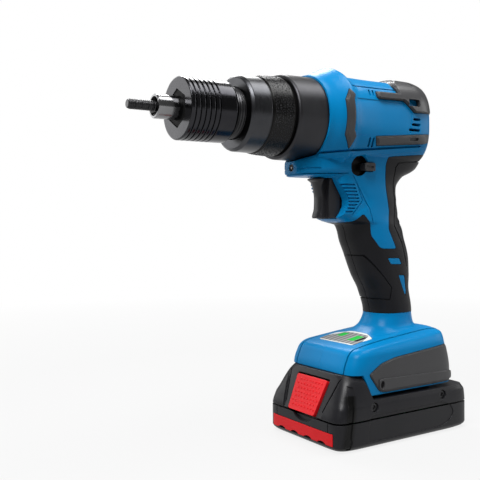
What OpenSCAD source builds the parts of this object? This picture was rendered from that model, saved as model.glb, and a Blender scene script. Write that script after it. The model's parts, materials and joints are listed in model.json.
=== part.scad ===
// Battery rivet-nut tool: pistol body, spin and pull nose, slide-on battery.
// Millimetres. The spindle lies along X with the nose towards -X, +Z is up,
// Y = 0 is the parting plane and the battery stands on Z = 0.

/* [Heights] */
// Battery deck above the table
pack_h = 29.7; // [27:0.1:33]
// Gap between the battery deck and the foot
deck_gap = 2.3; // [1.5:0.1:3.5]
// Foot, from its bottom edge to the neck of the grip
foot_h = 48; // [45:0.5:54]
// Rubber grip, from the neck to the lip under the trigger
grip_h = 61; // [56:0.5:70]
// Spindle axis above the lip under the trigger
head_h = 68.5; // [67:0.5:74]

/* [Head] */
// Front of the bell, from the middle of the battery
bell_x = -54; // [-58:0.5:-50]
// Length of the swelling behind the front housing
bell_len = 28; // [24:0.5:36]
// Largest radius of the bell
bell_r = 34.6; // [33:0.2:38]
// Radius of the motor barrel
barrel_r = 30.4; // [28:0.1:34]
// Wall of the motor barrel
barrel_wall = 3.4; // [2.8:0.1:4]
// Air between the motor and the wall of the barrel
motor_gap = 4.6; // [3.6:0.1:5.4]
// Wall of the grip and foot shells
wall = 2.6; // [2:0.1:3.2]

/* [Grip and foot] */
// Width of the grip at the palm
grip_w = 35.6; // [33:0.2:40]
// Depth of the grip at the palm
grip_d = 45.8; // [43:0.2:50]
// Width of the grip at the neck
neck_w = 30.4; // [28:0.2:33]
// Depth of the grip at the neck
neck_d = 33; // [31:0.2:37]
// Rearward lean of the grip, lip to neck
grip_lean = 18.4; // [15:0.2:21]
// Width of the foot
foot_w = 68; // [66:0.5:72]
// Length of the foot
foot_l = 94; // [84:0.5:100]
// Thickness of the rubber grip
rubber_t = 1.6; // [1.2:0.1:2]

/* [Nose] */
// Thread diameter of the pull mandrel
mandrel_d = 6; // [4:0.5:7]
// Mandrel in front of the anvil
mandrel_out = 16.6; // [12:0.2:22]
// Diameter of the anvil
anvil_d = 14; // [12:0.2:16]
// Anvil in front of the nose sleeve
anvil_out = 14.8; // [10:0.2:20]
// Width across the flats of the anvil's lock nut
lock_nut_af = 20; // [18:0.5:22]
// Diameter of the grooved nose sleeve
sleeve_d = 37; // [32:0.2:42]
// Length of the grooved nose sleeve
sleeve_len = 31.5; // [29:0.5:36]
// Grip grooves around the nose sleeve
sleeve_grooves = 6; // [4:1:7]
// Wall of the nose sleeve around the threaded stem
sleeve_wall = 2.5; // [2:0.1:3.5]
// Wall of the threaded stem around the pull train
stem_wall = 5; // [4:0.1:6]
// Stem thread left bare behind the sleeve
stem_show = 6.4; // [4:0.2:9]
// Length of the stroke ring
ring_len = 30; // [27:0.5:34]
// Share of the stroke ring that is stippled
band_len = 15; // [12:0.5:17]
// Diameter of the stroke ring at its front
ring_d = 46.4; // [44:0.2:47]
// Diameter of the stroke ring's stippled band
band_d = 50; // [48.5:0.2:52]
// Thickness of the seal behind the stroke ring
seal_t = 1.5; // [1:0.1:2]
// Diameter of the black front housing
front_d = 54.4; // [53.4:0.2:56]
// Front housing in front of the bell
front_len = 22.5; // [20:0.5:26]
// Travel of the pull mandrel
pull_stroke = 7; // [4:0.5:9]

/* [Drive] */
// Rim of the ring gear behind its teeth
ring_rim = 3.33; // [2.5:0.01:4]
// Teeth of the sun pinion
sun_teeth = 12; // [9:3:15]
// Teeth of each planet wheel
planet_teeth = 18; // [12:6:24]
// Length of the gear housing
gear_len = 18; // [15:0.5:22]
// Length of the stator stack
stator_len = 32; // [27:0.5:38]
// Poles of the stator
stator_poles = 6; // [6:3:9]
// Length of a stator pole, from the yoke to the air gap
pole_l = 6.5; // [5:0.1:7.5]
// Diameter of the motor shaft
shaft_d = 5; // [4:0.2:5.8]
// Outer diameter of the motor bearings
bearing_d = 16; // [13:0.5:19]
// Air around the cooling fan
fan_gap = 6; // [4.5:0.1:7.5]
// Diameter of the pull screw
screw_d = 14; // [12:0.2:15]

/* [Controls] */
// Width of the trigger
trigger_w = 18.6; // [16:0.2:20]
// Travel of the trigger
trigger_travel = 6.5; // [4:0.5:8]
// Travel of the direction selector to each side
selector_travel = 3; // [2:0.5:4]
// Selector left standing out of its recess when it is pushed in
selector_proud = 2.1; // [1.5:0.1:3]

/* [Battery] */
// Front of the battery pack
pack_x0 = -57.1; // [-60:0.1:-54]
// Length of the battery pack
pack_l = 119; // [108:0.2:126]
// Width of the battery pack
pack_w = 75.6; // [72:0.2:82]
// Height of the parting line between the battery's cases
pack_split = 17.8; // [15:0.2:20]
// Top of the battery's front hood
hood_h = 45.2; // [43:0.2:47]
// Wall of the battery cases
pack_wall = 2.4; // [2:0.1:2.8]
// Width of the battery rail at its flanges
rail_w = 48; // [44:0.5:50]
// Room for the latch in front of the cells
pack_front = 13.6; // [11:0.2:16]
// Room behind the cells
pack_rear = 12; // [10:0.2:14]
// Room beside the ends of the cells
cell_side = 5.3; // [4.5:0.1:6.5]
// Room over the cells for the board
board_room = 6.7; // [5.8:0.1:8]
// Width of the release button at its top
button_w = 31; // [27:0.5:36]
// Travel of the release button
button_travel = 2.5; // [1.5:0.5:3]

/* [Fits] */
// Radial clearance of a seated piece
seat = 0.05; // [0.02:0.01:0.1]
// Radial clearance of a running piece
run = 0.1; // [0.06:0.01:0.15]
// Clearance of a sliding plastic piece
slip = 0.35; // [0.3:0.05:0.5]

/* [Hidden] */
$fn = 64;
ring_points = 24;
hollow_points = 12;
bore_sides = 32;
big = 400;
eps = 0.01;

// Height levels from the table up
foot_z = pack_h + deck_gap;
neck_z = foot_z + foot_h;
lip_z = neck_z + grip_h;
axis_z = lip_z + head_h;

// Stations of the nose, from the bell forward
front_x = bell_x - front_len;
ring_x1 = front_x - seal_t;
ring_x0 = ring_x1 - ring_len;
sleeve_x1 = ring_x0 - stem_show;
sleeve_x0 = sleeve_x1 - sleeve_len;
anvil_x = sleeve_x0 - anvil_out;
mandrel_x = anvil_x - mandrel_out;

// Radii that several pieces share
stem_d = sleeve_d - 2 * sleeve_wall;
stem_r = stem_d / 2;
stem_bore = stem_r - stem_wall;
case_t = 1.5;
gear_case_r = front_d / 2 - 2.2;
front_bore = gear_case_r - 3;
hub_r = 12;
nut_r = screw_d / 2 + 10;
chuck_r = stem_bore - 2;
spigot_r = 4.2;
rod_af = 4.4;

// Planetary gear: the ring gear fills its housing, and the module follows
planets = 3;
tooth_tip = 0.8;
tooth_root = 1.15;
ring_teeth = sun_teeth + 2 * planet_teeth;
gear_m = (gear_case_r - case_t - seat - ring_rim) / (ring_teeth / 2 + tooth_root);
sun_r = gear_m * sun_teeth / 2;
planet_r = gear_m * planet_teeth / 2;
gear_ring_r = gear_m * ring_teeth / 2;
orbit_r = sun_r + planet_r;
pin_r = planet_r / 3;
carrier_r = orbit_r + pin_r + 3;

// Motor: the barrel sets the stator, and the stator sets the rotor
yoke_t = 4;
air_gap = 0.6;
stator_d = 2 * (barrel_r - barrel_wall - motor_gap);
pole_bore = stator_d / 2 - yoke_t - pole_l;
rotor_d = 2 * (pole_bore - air_gap);
pole_w = 0.59 * pole_bore;
fan_d = 2 * (barrel_r - barrel_wall - fan_gap);

// Stations of the pull train, from the front housing back
front_wall = 4;
flange_t = 4;
flange_x1 = front_x + front_wall + flange_t;
thrust_t = 2.3;
nut_x0 = flange_x1 + thrust_t + seat;
nut_len = 12;
nut_x1 = nut_x0 + nut_len;
hub_len = 9;
carrier_x0 = nut_x1 + hub_len;
stem_x0 = sleeve_x0 + 5.5;
anvil_seat = stem_x0 + 2.4;
anvil_x1 = anvil_seat + 10;
chuck_x0 = anvil_x1 + 2;
mandrel_grip = 12;
mandrel_end = chuck_x0 + mandrel_grip;
rod_x0 = mandrel_end + pull_stroke + 1;
screw_x0 = ring_x0 + 12;
screw_rest = 6;
screw_x1 = carrier_x0 - pull_stroke - screw_rest;

// Stations of the gearbox and the motor
carrier_t = 3.7;
gear_x0 = carrier_x0 - 1;
gear_x1 = gear_x0 + gear_len;
carrier_x1 = carrier_x0 + carrier_t;
planet_x0 = carrier_x1 + 0.4;
gear_face = gear_x1 - planet_x0 - 1.9;
gear_end = planet_x0 + gear_face;
plate_t = 4;
plate_x1 = gear_x1 + plate_t;
bearing_t = 5;
coil_room = 7;
stator_x0 = plate_x1 + bearing_t + coil_room;
stator_x1 = stator_x0 + stator_len;
fan_x0 = stator_x1 + 5;
fan_t = 5;
rear_bearing_x = fan_x0 + fan_t + 1.2;
tail_x = rear_bearing_x + bearing_t + 2.5;
bell_end = bell_x + bell_len;

// Parts of the grip that sit between the lip and the neck
grip_x = 1.6;
neck_x = grip_x + grip_lean;
trigger_z0 = lip_z + 4.4;
trigger_z1 = lip_z + 30.4;
trigger_x1 = -22;
stem_z = lip_z + 17;
selector_z = axis_z - 30.8;
selector_floor = grip_w / 2 - 0.4;
selector_l = 2 * (selector_floor + selector_proud + selector_travel);

// Battery rail and its channel in the foot
rail_flange = 4;
rail_top = foot_z + 10;
foot_x = 5;
foot_rear = foot_x + foot_l / 2;
foot_front = foot_x - foot_l / 2;
rail_x0 = foot_front + 18;
rail_x1 = foot_rear - 12;
blade_y = [-13.5, -4.5, 4.5, 13.5];
pack_x1 = pack_x0 + pack_l;
slope_top = [pack_x0 + 12.8, hood_h];
slope_bottom = [pack_x0, pack_split];
slope_angle = atan2(slope_top[1] - slope_bottom[1], slope_top[0] - slope_bottom[0]);
button_top = -5.2;
button_l = norm(slope_top - slope_bottom) + button_top - 1;
hood_x = slope_top[0] + 11;
hood_foot_x = hood_x + 6.5;

// Cells: the pack's width and height set their size, its length sets how many fit
cell_d = pack_h - 2 * pack_wall - board_room;
cell_l = pack_w - 2 * cell_side;
cell_pitch = cell_d + 0.4;
cells = floor((pack_l - pack_front - pack_rear) / cell_pitch + eps);
cell_z = pack_wall + cell_d / 2 + 0.4;
holder_top = cell_z + cell_d / 2 + 0.6;
function cell_x(i) = pack_x0 + pack_front + (i + 0.5) * cell_pitch - 0.2;

// Screws of the housing: place along X, height, and height of the head's seat on the right
housing_screw_at = [
    [bell_x + 9, axis_z - gear_case_r - 7.4, 9],
    [tail_x - 10, axis_z - 31, 9],
    [mix(grip_x, neck_x, 0.08) + 0.28 * grip_d, mix(lip_z, neck_z, 0.08), 9],
    [mix(grip_x, neck_x, 0.51) + 0.22 * grip_d, mix(lip_z, neck_z, 0.51), 9],
    [foot_front + 12, foot_z + 20, 20],
    [foot_rear - 12, foot_z + 20, 20]
];
housing_screw_r = 1.5;
screw_sides = 24;

// Placing helpers: a turned piece on the spindle, and a plate cut to a side outline
module on_spindle(x) {
    translate([x, 0, axis_z]) rotate([0, 90, 0]) children();
}

module rod_x(x0, x1, r) {
    on_spindle(x0) cylinder(h = x1 - x0, r = r);
}

module tube_x(x0, x1, r, bore) {
    difference() {
        rod_x(x0, x1, r);
        rod_x(x0 - 1, x1 + 1, bore);
    }
}

// Profile points are [x, radius]
module turned(profile) {
    on_spindle(0) rotate_extrude() polygon([for (p = profile) [p[1], p[0]]]);
}

// Outline points are [x, z]
module side_prism(outline, y0, y1, grow = 0) {
    translate([0, y1, 0]) rotate([90, 0, 0]) linear_extrude(y1 - y0)
        if (grow == 0) polygon(outline);
        else offset(delta = grow) polygon(outline);
}

module pin_y(x, z, y0, y1, r) {
    translate([x, y1, z]) rotate([90, 0, 0]) cylinder(h = y1 - y0, r = r);
}

// A bore in a faceted shell: its flats lie on the radius, so a round piece still fits
module bore_x(x0, x1, r, sides = bore_sides) {
    on_spindle(x0) cylinder(h = x1 - x0, r = r / cos(180 / sides), $fn = sides);
}

module bore_y(x, z, y0, y1, r, sides = 16) {
    pin_y(x, z, y0, y1, r / cos(180 / sides), $fn = sides);
}

module box(x0, x1, y0, y1, z0, z1) {
    translate([x0, y0, z0]) cube([x1 - x0, y1 - y0, z1 - z0]);
}

// Lofted skins
function power(v, e) = sign(v) * pow(abs(v), 2 / e);
function mix(a, b, t) = a + (b - a) * t;

function level_ring(z, xc, a, b, e, tilt = 0, points = ring_points) = [
    for (i = [0:points - 1])
        let (t = 360 * i / points, dx = a * power(cos(t), e))
            [xc + dx, b * power(sin(t), e), z + tilt * dx]
];

// drop flattens the upper half
function upright_ring(x, zc, hy, hz, e, drop = 0) = [
    for (i = [0:ring_points - 1])
        let (t = 360 * i / ring_points, h = i < ring_points / 2 ? hz - drop : hz)
            [x, hy * power(cos(t), e), zc + h * power(sin(t), e)]
];

module skin(rings) {
    n = len(rings[0]);
    m = len(rings);
    low = [for (i = [0:n - 1]) i];
    high = [for (i = [n - 1:-1:0]) (m - 1) * n + i];
    sides = [
        for (j = [0:m - 2]) for (i = [0:n - 1])
            let (a = j * n + i, b = j * n + (i + 1) % n)
                each [[a, a + n, b + n], [a, b + n, b]]
    ];
    polyhedron(points = [for (r = rings) each r], faces = concat([low, high], sides));
}

// Motor barrel with the bell at its front; d grows or shrinks the form, but growth fades out at the
// tail; from and to keep a stretch of it
module barrel(d = 0, from = -big, to = big) {
    mouth_r = front_d / 2 + 0.4;
    out = 0.8 * max(d, 0);
    stations = [
        [bell_x, mouth_r + 0.8, mouth_r + 0.8, 2, 0],
        [bell_x + 0.09 * bell_len, mix(mouth_r, bell_r, 0.22), mix(mouth_r, bell_r, 0.2), 2, 0],
        [bell_x + 0.285 * bell_len, mix(mouth_r, bell_r, 0.57), mix(mouth_r, bell_r, 0.51), 2, 0],
        [bell_x + 0.52 * bell_len, bell_r - 1.2, bell_r - 0.7, 2, 0],
        [bell_x + 0.585 * bell_len, bell_r - 1, bell_r, 2, 0],
        [bell_x + 0.63 * bell_len, bell_r - 1.2, bell_r - 0.6, 2.05, 0],
        [bell_x + 0.73 * bell_len, mix(barrel_r, bell_r, 0.52), barrel_r + 0.5, 2.2, 0.2],
        [bell_x + 0.82 * bell_len, mix(barrel_r, bell_r, 0.38), barrel_r - 0.3, 2.3, 0.5],
        [bell_end, mix(barrel_r, bell_r, 0.24), barrel_r - 0.5, 2.45, 0.7],
        [bell_end + 14, barrel_r + 0.2, barrel_r - 0.7, 2.55, 0.7],
        [tail_x - 17, barrel_r - 0.2, barrel_r - 0.7, 2.7, 0.7],
        [tail_x - 7, barrel_r - 1.8 - 0.5 * out, barrel_r - 1.3 - 0.3 * out, 2.7, 0.6],
        [tail_x - 2 + d / 2 - out / 2, barrel_r - 5.8 - out, barrel_r - 4.8 - out, 2.6, 0.5],
        [tail_x + d - out, barrel_r - 11 - out, barrel_r - 9.8 - out, 2.4, 0.4]
    ];
    used = [for (s = stations) if (s[0] >= from && s[0] <= to) s];
    skin([for (s = used) upright_ring(s[0], axis_z, s[1] + d, s[2] + d, s[3], s[4])]);
}

// Foot, neck, grip and the block behind the trigger, as one loft; low and high keep a stretch of it
module grip_loft(d = 0, low = -big, high = big, points = ring_points) {
    gw = grip_w / 2;
    gd = grip_d / 2;
    nw = neck_w / 2;
    nd = neck_d / 2;
    fw = foot_w / 2;
    fl = foot_l / 2;
    block_h = axis_z - 35.5 - lip_z;
    stations = [
        [foot_z, foot_x - 0.8, fl, fw, 9, 0],
        [foot_z + 0.29 * foot_h, foot_x - 1, fl - 1, fw, 9, 0],
        [foot_z + 0.54 * foot_h, foot_x - 0.7, fl - 4, fw - 0.6, 8.5, 0.05],
        [foot_z + 0.65 * foot_h, foot_x + 0.9, fl - 5.8, fw - 2.8, 7.5, 0.075],
        [foot_z + 0.71 * foot_h, foot_x + 3.2, fl - 12.6, fw - 8.4, 5, 0.1],
        [foot_z + 0.75 * foot_h, mix(neck_x, foot_x, 0.4), mix(nd, fl, 0.26), mix(nw, fw, 0.2), 3, 0.1],
        [foot_z + 0.84 * foot_h, mix(neck_x, foot_x, 0.08), mix(nd, fl, 0.06), mix(nw, fw, 0.05),
            2.6, 0.03],
        [neck_z, neck_x, nd, nw, 2.4, 0],
        [mix(neck_z, lip_z, 0.25), mix(neck_x, grip_x, 0.2), mix(nd, gd, 0.12), mix(nw, gw, 0.1), 2.5, 0],
        [mix(neck_z, lip_z, 0.44), mix(neck_x, grip_x, 0.38), mix(nd, gd, 0.6), mix(nw, gw, 0.5), 2.6, 0],
        [mix(neck_z, lip_z, 0.66), mix(neck_x, grip_x, 0.57), gd - 0.4, gw - 0.4, 2.6, 0],
        [mix(neck_z, lip_z, 0.82), mix(neck_x, grip_x, 0.78), gd, gw, 2.6, 0],
        [lip_z, grip_x, gd, gw, 2.6, 0],
        [lip_z + 0.07 * block_h, -3.6, gd + 5.1, gw, 2.7, 0],
        [lip_z + 0.18 * block_h, -7.6, gd + 7.1, gw, 2.9, 0],
        [lip_z + 0.33 * block_h, -4.6, gd + 2.7, gw, 3, 0],
        [lip_z + 0.48 * block_h, -2.9, gd - 0.3, gw + 0.2, 3, 0],
        [lip_z + 0.67 * block_h, -6.5, gd + 2.9, gw + 0.6, 3, 0],
        [lip_z + 0.85 * block_h, -9.5, gd + 7.7, gw + 1, 3, 0],
        [lip_z + block_h, -8.8, gd + 12.3, gw + 1.6, 3, 0],
        [axis_z - 32.5, -6.4, gd + 17.2, gw + 2.2, 3.1, 0],
        [axis_z - 29.5, -4.8, gd + 20.4, gw + 2.8, 3.2, 0],
        [axis_z - 23.5, -4, gd + 22.9, gw + 4.2, 3.2, 0],
        [axis_z - 19.5, -4, gd + 22.9, gw + 4.4, 3.2, 0]
    ];
    used = [for (s = stations) if (s[0] >= low && s[0] <= high) s];
    skin([for (s = used) level_ring(s[0], s[1], s[2] + d, s[3] + d, s[4], s[5], points)]);
}

// Chin under the front housing, which carries the work light
chin_out = 9.6;

module chin() {
    z = axis_z - gear_case_r;
    stations = [
        [bell_x - chin_out, z - 6.6, 6.4, 4.2],
        [bell_x - chin_out + 1.4, z - 6.4, 9.2, 5.6],
        [bell_x - 3, z - 5.8, 13, 6.4],
        [bell_x + 4, z - 5.2, 16.4, 7],
        [bell_x + 16, z - 5, 18.4, 7.2],
        [bell_x + 30, z - 5, 18.4, 7.4]
    ];
    skin([for (s = stations) upright_ring(s[0], s[1], s[2], s[3], 2.8)]);
}

// Side outlines of the trim, [x, z]
cover_outline = [
    [tail_x - 54.5, axis_z + 17.5], [tail_x - 54.5, axis_z + 13.4], [tail_x - 53.7, axis_z + 12.6],
    [tail_x - 31.5, axis_z + 13.2], [tail_x - 22.4, axis_z + 5.7], [tail_x + 12, axis_z + 7.7],
    [tail_x + 12, axis_z + 50], [tail_x - 26.5, axis_z + 50], [tail_x - 26.5, axis_z + 30],
    [tail_x - 33, axis_z + 27.4], [tail_x - 35.7, axis_z + 23], [tail_x - 34.4, axis_z + 18]
];
bar_outline = [
    [tail_x - 56.3, axis_z - 11.8], [tail_x - 53.9, axis_z - 17.4], [tail_x - 12, axis_z - 14.3],
    [tail_x - 6, axis_z - 12.9], [tail_x - 6, axis_z - 7.5]
];
ledge_outline = [
    [bell_x - 2, axis_z - 23.8], [bell_x - 2, axis_z - 27], [tail_x - 16, axis_z - 19.8],
    [tail_x - 9.6, axis_z - 18.2], [tail_x - 14.3, axis_z - 16.6]
];
accent_outline = [
    [bell_x + 14.4, axis_z + 16.8], [bell_x + 9.9, axis_z + 9.5], [bell_x + 10.1, axis_z - 12.3],
    [bell_x + 15.4, axis_z - 20.4], [bell_x + 17.9, axis_z - 13.1], [bell_x + 15.5, axis_z - 9.3],
    [bell_x + 15.6, axis_z + 10], [bell_x + 17.5, axis_z + 13.2]
];
plate_outline = [
    [foot_front + 13.5, foot_z + 13.5], [foot_front + 24, foot_z + 19.5],
    [foot_front + 36.3, foot_z + 22.2], [foot_rear - 8.5, foot_z + 26.5],
    [foot_rear - 4.5, foot_z + 12], [foot_rear - 4.5, foot_z + 1],
    [foot_front + 27, foot_z + 1], [foot_front + 22, foot_z + 2]
];
grip_outline = [
    [-70, neck_z], [-70, lip_z - 0.6], [-38, lip_z - 0.6], [-24, lip_z + 2], [-17.8, lip_z + 7],
    [-10.7, lip_z + 0.3], [-9.4, lip_z - 7.6], [-2.9, lip_z - 15.4], [0.1, lip_z - 16.5],
    [12.2, lip_z - 16.8], [4.8, lip_z - 3.1], [5.8, lip_z + 9], [2.2, lip_z + 23.2],
    [-0.5, axis_z - 28.6], [0.5, axis_z - 23.6], [tail_x + 30, axis_z - 18], [tail_x + 30, neck_z]
];
grip_window_high = [
    [4.2, lip_z - 22.7], [15, lip_z - 23], [17.8, lip_z - 27.6], [7.4, lip_z - 27.2]
];
grip_window_low = [
    [14.9, lip_z - 34.7], [21.1, lip_z - 35], [23.9, lip_z - 46.2], [22.9, lip_z - 49.6]
];
trim_set = 1;
cover_proud = 2.3;
bar_proud = 0.9;
accent_proud = 1;
ledge_proud = 1.2;
plate_proud = 0.8;
trim_gap = 0.1;

module grip_area(grow = 0) {
    difference() {
        side_prism(grip_outline, -big / 4, big / 4, grow);
        side_prism(grip_window_high, -big / 4 - 1, big / 4 + 1, -grow);
        side_prism(grip_window_low, -big / 4 - 1, big / 4 + 1, -grow);
    }
}

// A trim piece lies in a recess of the barrel and stands proud of it
module barrel_trim(outline, proud, from, to) {
    difference() {
        intersection() {
            side_prism(outline, -60, 60);
            barrel(proud, from, to);
        }
        barrel(seat - trim_set, from, to);
    }
}

module barrel_recess(outline) {
    difference() {
        side_prism(outline, -60, 60, trim_gap);
        barrel(-trim_set);
    }
}

// Charge-level panel on the slope in front of the neck
panel_outline = [
    [foot_front + 14, -17.5], [foot_front + 31, -18.5], [foot_front + 35, -10],
    [foot_front + 35, 10], [foot_front + 31, 18.5], [foot_front + 14, 17.5]
];
panel_proud = 0.3;

module panel_prism(grow = 0) {
    translate([0, 0, foot_z + 18]) linear_extrude(foot_h)
        if (grow == 0) polygon(panel_outline);
        else offset(delta = grow) polygon(panel_outline);
}

// Cooling slots: [x, height, length, lean from the horizontal]
slots = [
    [tail_x - 19.6, axis_z + 1.6, 5.4, 0], [tail_x - 20.4, axis_z - 2, 6.4, 0],
    [tail_x - 21.6, axis_z - 5.6, 8.6, 0],
    [bell_end + 4.6, axis_z + 16, 2.6, 85], [bell_end + 7.8, axis_z + 16, 2.6, 85],
    [bell_end + 3.8, axis_z - 15.6, 4.4, 95], [bell_end + 7, axis_z - 15.6, 4.4, 95]
];

module slot_cut(x, z, l, lean) {
    for (side = [-1, 1]) hull() {
        for (end = [-1, 1])
            pin_y(x + end * cos(lean) * l / 2, z + end * sin(lean) * l / 2,
                side > 0 ? 24 : -44, side > 0 ? 44 : -24, 0.9, $fn = 8);
    }
}

// Room for the battery rail, open to the front
module rail_channel(grow) {
    stem_half = rail_w / 2 - rail_flange;
    box(rail_x0 - 40, rail_x1 + grow, -stem_half - grow, stem_half + grow, foot_z - 1, rail_top + grow);
    box(rail_x0 - 40, rail_x1 + grow, -rail_w / 2 - grow, rail_w / 2 + grow,
        rail_top - rail_flange - grow, rail_top + grow);
}

hood_outline = [
    [-100, -10], [-100, hood_h], [hood_x, hood_h], [hood_foot_x, pack_h], [100, pack_h], [100, -10]
];
foot_floor = rail_top + slip + 4.6;
block_x1 = rail_x1 - 4;
block_x0 = block_x1 - 31;
block_w = 36;
block_top = foot_floor + 3;

module housing_hollow() {
    bore_x(bell_x - 30, plate_x1, gear_case_r + seat);
    bore_x(plate_x1 - eps, fan_x0 - 1, barrel_r - barrel_wall);
    bore_x(fan_x0 - 1 - eps, tail_x - 6, fan_d / 2 + 1.5);
    bore_x(tail_x - 7, tail_x - 2.5 + seat, bearing_d / 2 + seat, 24);
    intersection() {
        grip_loft(-wall, points = hollow_points);
        box(-90, 90, -60, 60, foot_floor, axis_z - 22);
    }
    rail_channel(slip);
    side_prism([[-100, foot_z - 20], [-100, hood_h + slip], [hood_x + slip, hood_h + slip],
        [hood_foot_x + slip, foot_z - eps], [hood_foot_x + slip, foot_z - 20]], -60, 60);
    box(block_x0 - seat, block_x1 + seat, -block_w / 2 - seat, block_w / 2 + seat,
        rail_top, block_top + 1);
    trigger_pocket();
    selector_pocket();
    rod_work_light(work_light_r + seat);
}

module trigger_pocket() {
    w = trigger_w / 2 + slip;
    box(-90, trigger_x1 + trigger_travel + 2, -w, w, trigger_z0 - slip, trigger_z1 + slip);
}

selector_x0 = -20.5;
selector_x1 = -11.4;
selector_t = 5.4;

recess_r = 6.6;

module selector_pocket() {
    box(selector_x0 - slip, selector_x1 + slip, -40, 40,
        selector_z - selector_t / 2 - slip, selector_z + selector_t / 2 + slip);
    for (side = [-1, 1])
        bore_y(selector_x0 - 2.5, selector_z + 0.8, side > 0 ? selector_floor : -40,
            side > 0 ? 40 : -selector_floor, recess_r, 24);
}

work_light_r = 2.4;
work_light_l = 4.4;
work_light_z = axis_z - gear_case_r - 6.6;

module rod_work_light(r) {
    translate([bell_x - chin_out - 0.3, 0, work_light_z]) rotate([0, 90, 0])
        cylinder(h = work_light_l, r = r, $fn = 32);
}

// Ribs that hold the motor, and the bosses of the housing screws
module housing_inner() {
    for (x = [stator_x0 + 2, stator_x1 - 5])
        difference() {
            bore_x(x, x + 3, barrel_r - barrel_wall + 0.8);
            bore_x(x - 1, x + 4, stator_d / 2 + seat);
        }
    difference() {
        bore_x(rear_bearing_x, tail_x - 5, bearing_d / 2 + 3, 24);
        bore_x(rear_bearing_x - 1, tail_x - 2.5 + seat, bearing_d / 2 + seat, 24);
    }
    intersection() {
        for (s = housing_screw_at)
            bore_y(s[0], s[1], -60, 60, housing_screw_r + 2, 8);
        union() {
            grip_loft(-rubber_t - 0.3, points = hollow_points);
            barrel(-wall);
        }
    }
}

module housing_screw_holes() {
    for (s = housing_screw_at) {
        bore_y(s[0], s[1], -s[2] - seat, s[2] + eps, housing_screw_r + seat, 8);
        bore_y(s[0], s[1], s[2], 60, housing_screw_r + 1.6, 12);
    }
}

// Seam along the shoulder of the foot
module foot_seam() {
    seam_y = foot_w / 2 - 9.6;
    difference() {
        for (side = [-1, 1])
            box(-big, big, side * seam_y - 0.4, side * seam_y + 0.4, foot_z + 0.28 * foot_h, neck_z - 8);
        grip_loft(-0.7, foot_z, neck_z);
    }
}

// Places of the rubber, the foot plates and the panel, sunk into the skin
module grip_recesses() {
    difference() {
        grip_area(trim_gap);
        grip_loft(-rubber_t);
        barrel(-rubber_t);
    }
    difference() {
        side_prism(plate_outline, -60, 60, trim_gap);
        grip_loft(-trim_set);
    }
    difference() {
        panel_prism(trim_gap);
        grip_loft(-trim_set);
    }
}

module housing_whole() {
    difference() {
        union() {
            difference() {
                union() {
                    barrel();
                    grip_loft();
                    chin();
                    intersection() {
                        side_prism(ledge_outline, -60, 60);
                        barrel(ledge_proud);
                    }
                }
                grip_recesses();
                foot_seam();
                bore_x(bell_x - 30, bell_x, front_d / 2 + slip);
                housing_hollow();
                barrel_recess(cover_outline);
                barrel_recess(bar_outline);
                barrel_recess(accent_outline);
            }
            housing_inner();
        }
        bore_x(bell_x - 30, plate_x1, gear_case_r + seat);
        housing_screw_holes();
        for (s = slots) slot_cut(s[0], s[1], s[2], s[3]);
    }
}

module left_housing() {
    color("royalblue") intersection() {
        housing_whole();
        box(-big, big, -big, 0, -big, big);
    }
}

module right_housing() {
    color("royalblue") intersection() {
        housing_whole();
        box(-big, big, 0, big, -big, big);
    }
}

module housing_screws() {
    color("dimgray") for (s = housing_screw_at) difference() {
        union() {
            pin_y(s[0], s[1], -s[2], s[2], housing_screw_r, $fn = screw_sides);
            pin_y(s[0], s[1], s[2] - eps, s[2] + 2.4, housing_screw_r + 1.4, $fn = screw_sides);
        }
        pin_y(s[0], s[1], s[2] + 1.2, s[2] + 3, 1.1, $fn = 6);
    }
}

module rear_cover() {
    color("dimgray") difference() {
        barrel_trim(cover_outline, cover_proud, bell_end - 11, big);
        for (side = [-1, 1])
            box(tail_x - 27.4, tail_x - 18.4, side > 0 ? 24 : -60, side > 0 ? 60 : -24,
                axis_z + 10.3, axis_z + 14.2);
    }
}

module accent_strips() {
    color("dimgray") barrel_trim(accent_outline, accent_proud, -big, bell_end);
}

module side_bars() {
    color("dimgray") barrel_trim(bar_outline, bar_proud, bell_end - 11, big);
}

// Rubber moulded over each housing half
module rubber_grips() {
    color("darkslategray") difference() {
        intersection() {
            grip_area();
            union() {
                grip_loft(0, neck_z);
                barrel(0, bell_end);
            }
        }
        grip_loft(seat - rubber_t, neck_z);
        barrel(seat - rubber_t, bell_end);
        housing_screw_holes();
        box(-big, big, -seat / 2, seat / 2, -big, big);
    }
}

module foot_plates() {
    color("dimgray") difference() {
        intersection() {
            side_prism(plate_outline, -60, 60);
            grip_loft(plate_proud, foot_z, neck_z - 9);
        }
        grip_loft(seat - trim_set, foot_z, neck_z - 9);
        housing_screw_holes();
    }
}

module level_panel() {
    color("whitesmoke") difference() {
        intersection() {
            panel_prism();
            grip_loft(panel_proud, foot_z, neck_z);
        }
        grip_loft(seat - trim_set, foot_z, neck_z);
    }
}

// Trigger: the front is hollow for the finger and rounded in plan, [share of the height, front]
trigger_mid = trigger_x1 - 7;
trigger_front = [[0, 22.2], [0.25, 21], [0.5, 20.7], [0.75, 21.8], [0.92, 24], [1, 27.4]];

module trigger() {
    color("dimgray") {
        difference() {
            skin([for (s = trigger_front)
                level_ring(mix(trigger_z0, trigger_z1, s[0]), trigger_mid, trigger_mid - trigger_x1 + s[1],
                    trigger_w / 2, 2.4)]);
            box(trigger_x1, big, -big, big, 0, big);
            for (side = [-1, 1])
                box(trigger_mid - 6, trigger_mid - 2.6, side > 0 ? trigger_w / 2 - 0.8 : -trigger_w,
                    side > 0 ? trigger_w : 0.8 - trigger_w / 2, trigger_z0 - 1, trigger_z1 + 1);
        }
        translate([trigger_x1 - eps, 0, stem_z]) rotate([0, 90, 0])
            cylinder(h = switch_x0 + 7 - trigger_x1, r = trigger_stem_r);
    }
}

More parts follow.
